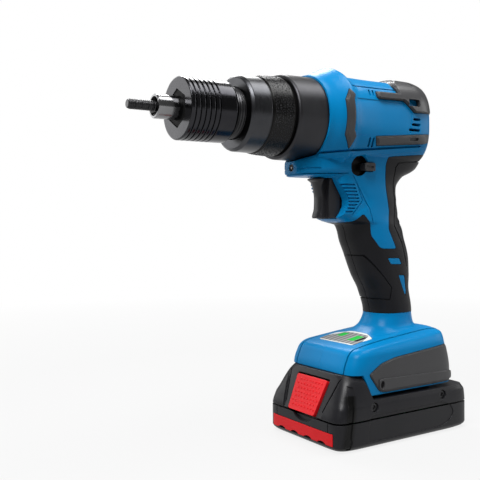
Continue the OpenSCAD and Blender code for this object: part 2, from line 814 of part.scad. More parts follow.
trigger_stem_r = 3;
switch_x0 = -13;
switch_x1 = 12;
switch_w = 0.62 * grip_w;
switch_z0 = lip_z + 5;
switch_z1 = selector_z - selector_t / 2 - slip - 0.6;

module trigger_switch() {
    color("darkslategray") difference() {
        box(switch_x0, switch_x1, -switch_w / 2, switch_w / 2, switch_z0, switch_z1);
        translate([switch_x0 - 1, 0, stem_z]) rotate([0, 90, 0])
            cylinder(h = 8 + trigger_travel + 2, r = trigger_stem_r + run);
    }
}

module direction_selector() {
    color("dimgray") difference() {
        box(selector_x0, selector_x1, -selector_l / 2, selector_l / 2,
            selector_z - selector_t / 2, selector_z + selector_t / 2);
        for (side = [-1, 1]) for (i = [0:2])
            box(selector_x0 + 2 + 2.2 * i, selector_x0 + 2.8 + 2.2 * i,
                side > 0 ? selector_l / 2 - 0.5 : -selector_l,
                side > 0 ? selector_l : 0.5 - selector_l / 2,
                selector_z - selector_t, selector_z + selector_t);
    }
}

module work_light() {
    color("lightyellow") rod_work_light(work_light_r);
}

// Leads from the switch down to the controller
controller_x0 = foot_front + 26;
controller_x1 = foot_rear - 18;
controller_w = foot_w - 28;
controller_top = block_top + 9;

module switch_leads() {
    a = [4, switch_z0 - 0.3];
    b = [14, controller_top + 0.3];
    color("firebrick") for (y = [-6, -2, 2, 6])
        translate([b[0], y, b[1]])
            rotate([0, atan2(a[0] - b[0], a[1] - b[1]), 0])
                cylinder(h = norm(a - b), r = 1.1);
}

module motor_controller() {
    color("silver") difference() {
        box(controller_x0, controller_x1, -controller_w / 2, controller_w / 2,
            block_top + seat, controller_top);
        for (i = [0:5])
            box(controller_x0 + 5 + 7 * i, controller_x0 + 8 + 7 * i, -controller_w, controller_w,
                controller_top - 3, controller_top + 1);
    }
}

module terminal_block() {
    color("darkslategray")
        box(block_x0, block_x1, -block_w / 2, block_w / 2, rail_top + slip, block_top);
}

blade_t = 0.8;
slot_floor = pack_h + 1.4;

module terminal_blades() {
    color("goldenrod") for (y = blade_y)
        box(block_x0 + 4, block_x1 - 3, y - blade_t / 2, y + blade_t / 2, slot_floor + 2, rail_top + slip);
}

// Nose
relief = 0.3;

module pull_mandrel() {
    r = mandrel_d / 2;
    color("silver") turned([
        [mandrel_x, 0], [mandrel_x, r - 0.9], [mandrel_x + 1.2, r], [anvil_x, r],
        [anvil_x + 0.4, r - relief], [anvil_x + 2.4, r - relief], [anvil_x + 2.8, r],
        [mandrel_end, r], [mandrel_end, 0]
    ]);
}

module anvil() {
    r = anvil_d / 2;
    bore = mandrel_d / 2 + run;
    color("dimgray") turned([
        [anvil_x, r - 1.2], [anvil_x, r - 0.4], [anvil_x + 0.4, r], [anvil_seat, r],
        [anvil_seat, stem_bore - seat], [anvil_x1, stem_bore - seat], [anvil_x1, bore],
        [anvil_x + 4, bore]
    ]);
}

module anvil_lock_nut() {
    color("dimgray") difference() {
        on_spindle(sleeve_x0 + 0.4)
            cylinder(h = stem_x0 - sleeve_x0 - 0.5, d = lock_nut_af / cos(30), $fn = 6);
        rod_x(sleeve_x0 - 1, stem_x0 + 1, anvil_d / 2 + seat);
    }
}

groove_pitch = 3.2;
groove_depth = 1.2;

module nose_sleeve() {
    r = sleeve_d / 2;
    grooves = [
        for (i = [0:sleeve_grooves - 1])
            let (x = sleeve_x0 + 2 + groove_pitch * i)
                each [[x, r], [x + 0.7, r - groove_depth], [x + 1.1, r - groove_depth], [x + 1.8, r]]
    ];
    color("dimgray") difference() {
        turned(concat(
            [[sleeve_x0, 0], [sleeve_x0, r - 0.6], [sleeve_x0 + 0.6, r]],
            grooves,
            [[sleeve_x1 - 1.2, r], [sleeve_x1, r - 1], [sleeve_x1, 0]]
        ));
        rod_x(stem_x0, sleeve_x1 + 1, stem_r + seat);
        on_spindle(sleeve_x0 - 1) cylinder(h = stem_x0 - sleeve_x0 + 2,
            d = (lock_nut_af + 2 * seat) / cos(30), $fn = 6);
    }
}

module threaded_stem() {
    flange_r = front_bore - seat;
    flange_x0 = flange_x1 - flange_t;
    color("silver") turned([
        [stem_x0, stem_bore], [stem_x0, stem_r - 0.6], [stem_x0 + 0.6, stem_r],
        [flange_x0, stem_r], [flange_x0, flange_r], [flange_x1, flange_r], [flange_x1, stem_bore]
    ]);
}

module stroke_ring() {
    r = ring_d / 2;
    band_r = band_d / 2;
    band_x = ring_x1 - band_len;
    color("darkslategray") turned([
        [ring_x0, stem_r + run], [ring_x0, r - 1.6], [ring_x0 + 1.6, r], [band_x - 1.4, r + 0.3],
        [band_x - 1, r - 0.1], [band_x - 0.4, r - 0.1], [band_x, band_r - 1], [ring_x1 - 0.8, band_r],
        [ring_x1 - run, band_r - 0.6], [ring_x1 - run, stem_r + run]
    ]);
}

module ring_seal() {
    color("black") tube_x(ring_x1, front_x, band_d / 2 - 1, stem_r + seat);
}

module front_housing() {
    r = front_d / 2;
    color("darkslategray") turned([
        [front_x, stem_r + seat], [front_x, r - 1.4], [front_x + 1.2, r - 0.3], [bell_x, r],
        [bell_x, gear_case_r], [gear_x0, gear_case_r], [gear_x0, front_bore],
        [front_x + front_wall, front_bore], [front_x + front_wall, stem_r + seat]
    ]);
}

// Pull train
module mandrel_chuck() {
    end = screw_x0 - seat;
    color("gray") difference() {
        turned([
            [chuck_x0, 0], [chuck_x0, chuck_r - 1], [chuck_x0 + 1, chuck_r],
            [end, chuck_r], [end, 0]
        ]);
        rod_x(chuck_x0 - 1, mandrel_end, mandrel_d / 2 + seat);
        rod_x(end - 8, end + 1, spigot_r + run);
        on_spindle(mandrel_end - eps)
            cylinder(h = end - mandrel_end + 1, d = (rod_af + 2 * run) / cos(30), $fn = 6);
    }
}

module pull_screw() {
    r = screw_d / 2;
    guide_r = stem_bore - run;
    color("silver") difference() {
        turned([
            [screw_x0 - 7, 0], [screw_x0 - 7, spigot_r], [screw_x0, spigot_r], [screw_x0, guide_r],
            [screw_x0 + 5, guide_r], [screw_x0 + 5, r], [screw_x1, r], [screw_x1, 0]
        ]);
        rod_x(screw_x0 - 20, screw_x1 + 1, rod_af / 2 / cos(30) + slip);
    }
}

module thrust_bearing() {
    color("silver") tube_x(flange_x1, flange_x1 + thrust_t, nut_r, screw_d / 2 + 2);
}

module drive_nut() {
    color("gray") tube_x(nut_x0, nut_x1, nut_r, screw_d / 2 + run);
}

module drive_rod() {
    color("silver") on_spindle(rod_x0) cylinder(h = carrier_x0 - rod_x0, d = rod_af / cos(30), $fn = 6);
}

module carrier_bearing() {
    color("silver") tube_x(gear_x0 - 7, gear_x0 - 1, front_bore - seat, hub_r + seat);
}

module planet_carrier() {
    color("gray") {
        tube_x(nut_x1, carrier_x0 + eps, hub_r, screw_d / 2 + 0.8);
        rod_x(carrier_x0, carrier_x1, carrier_r);
        for (i = [0:planets - 1])
            on_spindle(carrier_x1 - eps) rotate(360 / planets * i) translate([orbit_r, 0, 0])
                cylinder(h = gear_end - carrier_x1, r = pin_r);
    }
}

// Involute gear outline; play thins each flank, tip and root are radii
pressure = 20;
flank_play = 0.06;
function involute(a) = tan(a) * 180 / PI - a;

function half_tooth(r, rp, teeth, play) =
    let (base = rp * cos(pressure), roll = acos(min(1, base / max(r, base))))
        90 / teeth - play / rp * 180 / PI + involute(pressure) - involute(roll);

function gear_points(teeth, root, tip, play) =
    let (rp = gear_m * teeth / 2, radii = [root, mix(root, tip, 0.35), mix(root, tip, 0.7), tip])
        [for (k = [0:teeth - 1]) each concat(
            [for (r = radii) let (t = 360 * k / teeth - half_tooth(r, rp, teeth, play))
                [r * cos(t), r * sin(t)]],
            [for (j = [3:-1:0]) let (r = radii[j], t = 360 * k / teeth + half_tooth(r, rp, teeth, play))
                [r * cos(t), r * sin(t)]]
        )];

module wheel(teeth, bore, face) {
    rp = gear_m * teeth / 2;
    linear_extrude(face) difference() {
        polygon(gear_points(teeth, rp - tooth_root * gear_m, rp + tooth_tip * gear_m, flank_play));
        circle(r = bore);
    }
}

module planet_gear(i) {
    color("silver") on_spindle(planet_x0) rotate(360 / planets * i) translate([orbit_r, 0, 0])
        rotate(180 / planet_teeth)
            wheel(planet_teeth, pin_r + seat, gear_face);
}

module planet_gear_1() {
    planet_gear(0);
}

module planet_gear_2() {
    planet_gear(1);
}

module planet_gear_3() {
    planet_gear(2);
}

module ring_gear() {
    x0 = carrier_x1 + 0.2;
    color("gray") on_spindle(x0) linear_extrude(gear_x1 - x0 - seat) difference() {
        circle(r = gear_case_r - case_t - seat);
        rotate(180 / ring_teeth) polygon(gear_points(ring_teeth, gear_ring_r - tooth_tip * gear_m,
            gear_ring_r + tooth_root * gear_m, -flank_play));
    }
}

module gear_housing() {
    color("lightgray") tube_x(gear_x0, gear_x1, gear_case_r, gear_case_r - case_t);
}

module gearbox_plate() {
    color("lightgray") difference() {
        union() {
            rod_x(gear_x1, plate_x1, gear_case_r);
            rod_x(plate_x1 - eps, plate_x1 + bearing_t, bearing_d / 2 + 2.5);
        }
        rod_x(plate_x1, plate_x1 + bearing_t + 1, bearing_d / 2 + seat);
        rod_x(gear_x1 - 1, plate_x1 + 1, shaft_d / 2 + 1);
    }
}

module sun_pinion() {
    color("silver") on_spindle(planet_x0)
        wheel(sun_teeth, shaft_d / 2 + seat, gear_face);
}

module rotor() {
    color("gray") {
        rod_x(planet_x0, tail_x - 3, shaft_d / 2);
        rod_x(stator_x0 + 1, stator_x1 - 1, rotor_d / 2);
    }
}

module stator() {
    r = stator_d / 2;
    color("gray") on_spindle(stator_x0) linear_extrude(stator_len) difference() {
        union() {
            difference() {
                circle(r = r);
                circle(r = r - yoke_t);
            }
            for (i = [0:stator_poles - 1]) rotate(360 / stator_poles * i)
                translate([pole_bore - 2, -pole_w / 2]) square([r - yoke_t - pole_bore + 3, pole_w]);
        }
        circle(r = pole_bore);
    }
}

module stator_coils() {
    inner = pole_bore + 1;
    outer = stator_d / 2 - yoke_t - 0.3;
    color("peru") for (i = [0:stator_poles - 1])
        on_spindle(stator_x0 - 3) rotate(360 / stator_poles * i) difference() {
            translate([inner, -pole_w / 2 - 2, 0]) cube([outer - inner - 0.6, pole_w + 4, stator_len + 6]);
            translate([inner - 1, -pole_w / 2 - seat, 3 - seat])
                cube([outer - inner + 2, pole_w + 2 * seat, stator_len + 2 * seat]);
        }
}

module motor_bearings() {
    color("silver") for (x = [plate_x1 + seat, rear_bearing_x])
        tube_x(x, x + bearing_t - seat, bearing_d / 2, shaft_d / 2 + seat);
}

fan_blades = 9;

module cooling_fan() {
    color("black") {
        tube_x(fan_x0, fan_x0 + fan_t, shaft_d / 2 + 3, shaft_d / 2 + seat);
        tube_x(fan_x0, fan_x0 + 1.2, fan_d / 2, shaft_d / 2 + 2);
        for (i = [0:fan_blades - 1]) on_spindle(fan_x0 + 1) rotate(360 / fan_blades * i)
            translate([shaft_d / 2 + 5, 0, 0]) rotate(28)
                cube([fan_d / 2 - shaft_d / 2 - 7.5, 1.2, fan_t - 1]);
    }
}

// Battery
module pack_loft(d = 0, low = 0, high = big) {
    hw = pack_w / 2;
    stations = [
        [0, pack_x0 + 4, pack_x1 - 3, hw - 3.4, 11],
        [1.2, pack_x0 + 1.6, pack_x1 - 1, hw - 1.4, 12],
        [3.6, pack_x0, pack_x1, hw, 13],
        [pack_split, pack_x0, pack_x1, hw, 13],
        [pack_h - 4, mix(pack_x0, slope_top[0], 0.19), pack_x1 - 0.3, hw - 0.6, 13],
        [pack_h, mix(pack_x0, slope_top[0], 0.33), pack_x1 - 2, hw - 1.6, 11],
        [hood_h - 4, mix(pack_x0, slope_top[0], 0.8), pack_x1 - 4, hw - 4, 8],
        [hood_h, slope_top[0], pack_x1 - 5, hw - 6.2, 7]
    ];
    used = [for (s = stations) if (s[0] >= low && s[0] <= high) s];
    skin([for (s = used) level_ring(s[0], (s[1] + s[2]) / 2, (s[2] - s[1]) / 2 + d, s[3] + d, s[4])]);
}

module pack_hollow(low, high) {
    intersection() {
        pack_loft(-pack_wall, low, high);
        box(pack_x0 + pack_front - 1.5, pack_x1, -pack_w, pack_w, pack_wall, pack_h - 2.5);
    }
}

// Local frame of the sloping front: x up the slope, z outward
module on_slope() {
    translate([slope_top[0], 0, slope_top[1]]) rotate([0, -slope_angle, 0]) children();
}

button_t = 3.6;
button_proud = 1.2;
button_taper = 2;

module button_prism(grow, z0, z1) {
    a = button_w / 2 + grow;
    b = button_w / 2 - button_taper + grow;
    translate([0, 0, z0]) linear_extrude(z1 - z0)
        polygon([[button_top + grow, -a], [button_top + grow, a],
            [button_top - button_l - grow, b], [button_top - button_l - grow, -b]]);
}

module button_pocket() {
    on_slope() button_prism(slip, -button_t - button_travel - 0.8, 12);
}

module release_button() {
    color("red") on_slope() button_prism(0, -button_t, button_proud);
}

strip_half = pack_w / 2 - 6.4;
strip_z0 = 3.8;
strip_z1 = 11.4;

module strip_zone(grow) {
    box(-big, pack_x0 + 12, -strip_half - grow, strip_half + grow, strip_z0 - grow, strip_z1 + grow);
}

battery_screw_at = [pack_x0 + 30.3, pack_x1 - 26.6];
battery_screw_z = pack_h - 4.5;

module battery_screw_holes(r, depth) {
    for (x = battery_screw_at) for (side = [-1, 1])
        bore_y(x, battery_screw_z, side > 0 ? pack_w / 2 - depth : -pack_w,
            side > 0 ? pack_w : depth - pack_w / 2, r, screw_sides);
}

// Shallow panel on each long side
module side_panel_recess() {
    for (side = [-1, 1])
        box(pack_x0 + 37, pack_x1 - 16, side > 0 ? pack_w / 2 - 0.5 : -pack_w,
            side > 0 ? pack_w : 0.5 - pack_w / 2, 4, pack_split + 3.2);
}

// Flat panel of the sloping front, between the corner bumpers
panel_top = 29;
panel_foot = 19.2;

module slope_panel() {
    on_slope() linear_extrude(12)
        polygon([[3, -panel_top], [3, panel_top], [-button_l - 7, panel_foot], [-button_l - 7, -panel_foot]]);
}

// Lines in the skin beside the button and behind the corner bumpers
module pack_lines() {
    difference() {
        for (side = [-1, 1]) {
            on_slope() translate([0, 0, -20]) linear_extrude(40)
                polygon([[2, side * 29.5], [2, side * 28.5], [-24.5, side * 20.5], [-24.5, side * 21.5]]);
            box(pack_x0 + 11, pack_x0 + 12, side > 0 ? pack_w / 4 : -pack_w,
                side > 0 ? pack_w : -pack_w / 4, 4, pack_h + 4);
        }
        pack_loft(-0.7);
    }
}

module battery_lower_case() {
    color("darkslategray") difference() {
        pack_loft(0, 0, pack_split);
        pack_hollow(0, pack_h - 4);
        button_pocket();
        side_panel_recess();
        pack_lines();
        difference() {
            strip_zone(trim_gap);
            pack_loft(-1.4, 0, pack_split);
        }
    }
}

module battery_upper_case() {
    rail_half = rail_w / 2;
    stem_half = rail_half - rail_flange;
    color("darkslategray") difference() {
        union() {
            intersection() {
                pack_loft(0, pack_split);
                side_prism(hood_outline, -60, 60);
            }
            box(rail_x0, rail_x1, -stem_half, stem_half, pack_h - 1, rail_top);
            box(rail_x0, rail_x1, -rail_half, rail_half, rail_top - rail_flange, rail_top);
        }
        pack_hollow(3, hood_h);
        slope_panel();
        button_pocket();
        side_panel_recess();
        pack_lines();
        battery_screw_holes(3 + seat, 3);
        for (y = blade_y)
            box(block_x0, rail_x1 + 1, y - 1.5, y + 1.5, slot_floor, rail_top + 1);
    }
}

module battery_strip() {
    color("red") difference() {
        intersection() {
            strip_zone(0);
            pack_loft(0.3, 0, pack_split);
        }
        pack_loft(seat - 1.4, 0, pack_split);
        for (i = [-1.5:1.5])
            box(-big, 0, i * strip_half * 0.446 - 4, i * strip_half * 0.446 + 4, 0, strip_z0 + 1.4);
    }
}

module battery_screws() {
    color("black") for (x = battery_screw_at) for (side = [-1, 1]) difference() {
        pin_y(x, battery_screw_z, side > 0 ? pack_w / 2 - 3 : 1.4 - pack_w / 2,
            side > 0 ? pack_w / 2 - 1.4 : 3 - pack_w / 2, 3, $fn = screw_sides);
        pin_y(x, battery_screw_z, side > 0 ? pack_w / 2 - 2.2 : -pack_w / 2,
            side > 0 ? pack_w / 2 : 2.2 - pack_w / 2, 1.3, $fn = 6);
    }
}

module battery_cells() {
    color("mediumseagreen") for (i = [0:cells - 1])
        pin_y(cell_x(i), cell_z, -cell_l / 2, cell_l / 2, cell_d / 2);
}

module cell_holder() {
    color("dimgray") for (y = [-cell_l / 2 + 6, cell_l / 2 - 10]) difference() {
        box(cell_x(0) - cell_pitch / 2 - 0.6, cell_x(cells - 1) + cell_pitch / 2 + 0.6, y, y + 4,
            pack_wall + seat, holder_top);
        for (i = [0:cells - 1])
            pin_y(cell_x(i), cell_z, y - 1, y + 5, cell_d / 2 + seat);
    }
}

module cell_straps() {
    color("gainsboro") for (i = [0:cells - 1]) {
        side = i % 2 == 0 ? 1 : -1;
        last = min(i + 1, cells - 1);
        box(cell_x(i) - 5, cell_x(last) + 5, side > 0 ? cell_l / 2 : -cell_l / 2 - 0.3,
            side > 0 ? cell_l / 2 + 0.3 : -cell_l / 2, cell_z - 3.5, cell_z + 3.5);
    }
}

module battery_board() {
    color("darkgreen") box(cell_x(0) - 6, cell_x(cells - 1) + 6, -cell_l / 2 + 5, cell_l / 2 - 5,
        holder_top, holder_top + 1.6);
}

module battery_contacts() {
    gap = blade_t / 2 + 0.3;
    color("goldenrod") for (y = blade_y) for (side = [-1, 1])
        box(block_x0 + 8, block_x0 + 20, side > 0 ? y + gap : y - gap - 0.5,
            side > 0 ? y + gap + 0.5 : y - gap, slot_floor, slot_floor + 8);
}

pull_mandrel();
anvil();
anvil_lock_nut();
nose_sleeve();
threaded_stem();
stroke_ring();
ring_seal();
front_housing();
mandrel_chuck();
pull_screw();
thrust_bearing();
drive_nut();
drive_rod();
carrier_bearing();
planet_carrier();
planet_gear_1();
planet_gear_2();
planet_gear_3();
ring_gear();
gear_housing();
gearbox_plate();
sun_pinion();
rotor();
stator();
stator_coils();
motor_bearings();
cooling_fan();
left_housing();
right_housing();
housing_screws();
rear_cover();
accent_strips();
side_bars();
rubber_grips();
trigger();
trigger_switch();
direction_selector();
work_light();
switch_leads();
motor_controller();
terminal_block();
terminal_blades();
foot_plates();
level_panel();
battery_lower_case();
battery_upper_case();
release_button();
battery_strip();
battery_screws();
battery_cells();
cell_holder();
cell_straps();
battery_board();
battery_contacts();
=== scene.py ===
import json
import math

import bmesh
import bpy
import numpy as np
from mathutils import Matrix, Vector


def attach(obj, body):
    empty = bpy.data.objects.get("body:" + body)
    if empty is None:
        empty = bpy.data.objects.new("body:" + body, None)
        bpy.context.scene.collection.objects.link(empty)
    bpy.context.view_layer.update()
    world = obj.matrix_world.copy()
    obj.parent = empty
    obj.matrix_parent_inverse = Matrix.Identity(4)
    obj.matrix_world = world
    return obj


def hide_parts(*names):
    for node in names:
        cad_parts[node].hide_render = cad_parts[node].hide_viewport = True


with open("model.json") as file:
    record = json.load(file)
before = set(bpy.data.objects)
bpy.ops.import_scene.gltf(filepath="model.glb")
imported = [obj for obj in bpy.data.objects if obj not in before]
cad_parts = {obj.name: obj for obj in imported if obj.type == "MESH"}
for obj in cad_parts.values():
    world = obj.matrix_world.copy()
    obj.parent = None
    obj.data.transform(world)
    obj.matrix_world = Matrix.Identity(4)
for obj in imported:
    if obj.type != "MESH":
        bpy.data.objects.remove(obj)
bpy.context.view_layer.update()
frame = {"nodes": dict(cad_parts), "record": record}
scene = bpy.context.scene
scene.view_settings.view_transform = "Standard"
mm = 0.001
axisZ = 209.5  # spindle height, mm
wide = 60  # half width that reaches past both sides of the tool
farOff = 200  # reaches past the whole tool
sides = (-1, 1)
weldGap, flatGap = 1e-7, 1e-8  # metres
creaseAngle = math.radians(32)  # edges sharper than this stay sharp
print("frame loaded:", len(frame["nodes"]), "nodes")


# Mesh tools: everything is laid out in millimetres and stored in metres
def newPiece(verts, faces):
    mesh = bpy.data.meshes.new("tool")
    mesh.from_pydata([tuple(c * mm for c in v) for v in verts], [], faces)
    work = bmesh.new()
    work.from_mesh(mesh)
    bmesh.ops.remove_doubles(work, verts=work.verts, dist=weldGap)
    bmesh.ops.dissolve_degenerate(work, edges=work.edges, dist=flatGap)
    bmesh.ops.recalc_face_normals(work, faces=work.faces)
    work.to_mesh(mesh)
    work.free()
    piece = bpy.data.objects.new("tool", mesh)
    scene.collection.objects.link(piece)
    return piece


def settle(piece):
    # turns the piece and its modifiers into a plain mesh
    graph = bpy.context.evaluated_depsgraph_get()
    mesh = bpy.data.meshes.new_from_object(piece.evaluated_get(graph))
    piece.modifiers.clear()
    piece.data = mesh
    return piece


def carve(piece, tool, how="DIFFERENCE"):
    cut = piece.modifiers.new("cut", "BOOLEAN")
    cut.solver = "MANIFOLD"
    cut.operation = how
    cut.object = tool
    settle(piece)
    bpy.data.objects.remove(tool)
    return piece


def unite(piece, tool):
    return tool if piece is None else carve(piece, tool, "UNION")


def common(piece, tool):
    return carve(piece, tool, "INTERSECT")


def twin(piece, name):
    other = bpy.data.objects.new(name, piece.data.copy())
    scene.collection.objects.link(other)
    return other


def eased(rows, count):
    # monotone cubic through given stations; the first column is the way along
    rows = np.array(rows, float)
    key = rows[:, 0]
    gaps = np.diff(key)
    rise = np.diff(rows, axis=0) / gaps[:, None]
    slope = np.zeros_like(rows)
    slope[0], slope[-1] = rise[0], rise[-1]
    for i in range(1, len(key) - 1):
        a, b = rise[i - 1], rise[i]
        w1, w2 = 2 * gaps[i] + gaps[i - 1], gaps[i] + 2 * gaps[i - 1]
        with np.errstate(divide="ignore", invalid="ignore"):
            slope[i] = np.where(a * b > 0, (w1 + w2) / (w1 / a + w2 / b), 0)
    out = []
    for k in np.unique(np.concatenate([np.linspace(key[0], key[-1], count), key])):
        i = min(max(np.searchsorted(key, k, "right") - 1, 0), len(gaps) - 1)
        h = gaps[i]
        t = (k - key[i]) / h
        out.append(
            (2 * t**3 - 3 * t**2 + 1) * rows[i] + (t**3 - 2 * t**2 + t) * h * slope[i]
            + (3 * t**2 - 2 * t**3) * rows[i + 1] + (t**3 - t**2) * h * slope[i + 1]
        )
    return out


def power(v, e):
    # superellipse: 2 is round, more is squarer
    return np.sign(v) * np.abs(v) ** (2 / e)


def skin(rings):
    # closed skin over rings of equal counts
    count = len(rings[0])
    verts = [tuple(p) for ring in rings for p in ring]
    faces = [tuple(range(count))]
    for j in range(len(rings) - 1):
        for i in range(count):
            a, b = j * count + i, j * count + (i + 1) % count
            faces.append((a, b, b + count, a + count))
    faces.append(tuple((len(rings) - 1) * count + i for i in range(count)))
    return newPiece(verts, faces)


def levelRing(z, xc, a, b, e, tilt, around):
    t = np.linspace(0, 2 * math.pi, around, endpoint=False)
    dx = a * power(np.cos(t), e)
    return np.stack([xc + dx, b * power(np.sin(t), e), z + tilt * dx], axis=1)


def uprightRing(x, zc, hy, hz, e, around, drop=0.0):
    t = np.linspace(0, 2 * math.pi, around, endpoint=False)
    high = np.where(np.sin(t) > 0, hz - drop, hz)
    return np.stack([np.full(around, x), hy * power(np.cos(t), e), zc + high * power(np.sin(t), e)], axis=1)


def rounded(points, radius, steps=5, most=0.45):
    # outline with its corners eased by short curves, over at most a share of each side
    out = []
    n = len(points)
    for i in range(n):
        p = np.array(points[i], float)
        before, after = np.array(points[i - 1], float) - p, np.array(points[(i + 1) % n], float) - p
        cut = min(radius, most * np.linalg.norm(before), most * np.linalg.norm(after))
        a = p + before / np.linalg.norm(before) * cut
        b = p + after / np.linalg.norm(after) * cut
        for t in np.linspace(0, 1, steps):
            out.append(tuple((1 - t) ** 2 * a + 2 * t * (1 - t) * p + t**2 * b))
    return out


def grown(points, d, least=0.6):
    # outline moved outwards by d; least keeps sharp corners from running away
    pts = np.array(points, float)
    area = np.sum(pts[:, 0] * np.roll(pts[:, 1], -1) - np.roll(pts[:, 0], -1) * pts[:, 1])
    turn = 1 if area > 0 else -1
    out = []
    for i in range(len(pts)):
        a = pts[i] - pts[i - 1]
        b = pts[(i + 1) % len(pts)] - pts[i]
        na = np.array([a[1], -a[0]]) / max(np.linalg.norm(a), 1e-9) * turn
        nb = np.array([b[1], -b[0]]) / max(np.linalg.norm(b), 1e-9) * turn
        m = na + nb
        out.append(tuple(pts[i] + d * m * 2 / max(m @ m, least)))
    return out


def prism(outline, low=-wide, high=wide, way="y"):
    # outline in (x, z) pulled along y, in (x, y) pulled along z, or in (y, z) pulled along x
    n = len(outline)
    turn = {
        "y": lambda p, h: (p[0], h, p[1]),
        "z": lambda p, h: (p[0], p[1], h),
        "x": lambda p, h: (h, p[0], p[1]),
    }
    verts = [turn[way](p, low) for p in outline] + [turn[way](p, high) for p in outline]
    faces = [tuple(range(n)), tuple(range(n, 2 * n))]
    faces += [(i, (i + 1) % n, n + (i + 1) % n, n + i) for i in range(n)]
    return newPiece(verts, faces)


def block(x0, x1, y0, y1, z0, z1):
    return prism([(x0, z0), (x1, z0), (x1, z1), (x0, z1)], y0, y1)


def slab(low, high):
    # everything between two y values
    return block(-farOff, farOff, low, high, -farOff, 2 * farOff)


def outside(side, y):
    # y range from y out past the side of the tool
    return (y, wide) if side > 0 else (-wide, -y)


def braced(profile, closed, reach=0.2):
    # extra rings beside the corners of long runs keep the shading crisp
    out = []
    ends = profile[1:] + profile[:1] if closed else profile[1:]
    for p, q in zip(profile, ends):
        out.append(p)
        length = math.dist(p, q)
        if length > 6 * reach:
            for share in (reach / length, 1 - reach / length):
                out.append((p[0] + (q[0] - p[0]) * share, p[1] + (q[1] - p[1]) * share))
    return out if closed else out + profile[-1:]


def turned(profile, around, z=axisZ):
    # profile of (x, radius); a radius of 0 at both ends closes a solid, otherwise it is a ring
    verts, faces = [], []
    profile = braced(profile, profile[0][1] != 0)
    t = np.linspace(0, 2 * math.pi, around, endpoint=False)
    for x, r in profile:
        verts += [(x, r * math.cos(k), z + r * math.sin(k)) for k in t]
    n = len(profile)
    for j in range(n - 1 if profile[0][1] == 0 else n):
        for i in range(around):
            a, b = j * around + i, j * around + (i + 1) % around
            c, d = ((j + 1) % n) * around + (i + 1) % around, ((j + 1) % n) * around + i
            faces.append((a, b, c, d))
    return newPiece(verts, faces)


def rod(x0, x1, r, around, z=axisZ):
    return turned([(x0, 0), (x0, r), (x1, r), (x1, 0)], around, z)


def disc(x, z, r, stretch=1.0, around=48):
    t = np.linspace(0, 2 * math.pi, around, endpoint=False)
    return [(x + r * math.cos(k), z + stretch * r * math.sin(k)) for k in t]


def slot(x, z, length, lean, r, steps=8):
    # outline of a round-ended slot
    c, s = math.cos(math.radians(lean)), math.sin(math.radians(lean))
    pts = []
    for end in (1, -1):
        for k in range(steps + 1):
            a = math.radians(lean - 90 * end + 180 / steps * k)
            dx, dz = end * c * length / 2, end * s * length / 2
            pts.append((x + dx + r * math.cos(a), z + dz + r * math.sin(a)))
    return pts


def stroke(points, width, way="y", low=-wide, high=wide, overlap=0.7):
    # cutter for a groove along a line of points, its runs overlapping at the bends
    tool = None
    for a, b in zip(points, points[1:]):
        a, b = np.array(a, float), np.array(b, float)
        along = (b - a) / np.linalg.norm(b - a) * width / 2
        across = np.array([-along[1], along[0]])
        over = along * overlap
        corners = [a - over + across, b + over + across, b + over - across, a - over - across]
        tool = unite(tool, prism(corners, low, high, way))
    return tool


def grooved(piece, line, width, *forms):
    # groove along a line, as deep as the shrunk forms
    tool = stroke(line, width)
    for form in forms:
        carve(tool, form)
    return carve(piece, tool)


def dress(piece, name, body, slotName, look, *nodes):
    # smooth shading, finish, body and the CAD nodes that the piece stands for
    for face in piece.data.polygons:
        face.use_smooth = True
        face.material_index = 0
    piece.data.set_sharp_from_angle(angle=creaseAngle)
    piece.name = name
    piece.data.name = name
    piece.data.materials.clear()
    piece.data.materials.append(look)
    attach(piece, body)
    if nodes:
        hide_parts(*nodes)


# Node tools: a socket that takes part in Python arithmetic
class Wire:
    def __init__(self, tree, socket):
        self.tree, self.socket = tree, socket

    def maths(self, how, *others, first=None):
        node = self.tree.nodes.new("ShaderNodeMath")
        node.operation = how
        values = (self, *others) if first is None else (first, self)
        for i, value in enumerate(values):
            if isinstance(value, Wire):
                self.tree.links.new(value.socket, node.inputs[i])
            else:
                node.inputs[i].default_value = value
        return Wire(self.tree, node.outputs[0])

    def __add__(self, other):
        return self.maths("ADD", other)

    __radd__ = __add__

    def __sub__(self, other):
        return self.maths("SUBTRACT", other)

    def __rsub__(self, other):
        return self.maths("SUBTRACT", first=other)

    def __mul__(self, other):
        return self.maths("MULTIPLY", other)

    __rmul__ = __mul__

    def __truediv__(self, other):
        return self.maths("DIVIDE", other)

    def __rtruediv__(self, other):
        return self.maths("DIVIDE", first=other)

    def __gt__(self, other):
        return self.maths("GREATER_THAN", other)

    def __lt__(self, other):
        return self.maths("LESS_THAN", other)

    def __abs__(self):
        return self.maths("ABSOLUTE")

    def clamped(self):
        return self.maths("MAXIMUM", 0.0).maths("MINIMUM", 1.0)


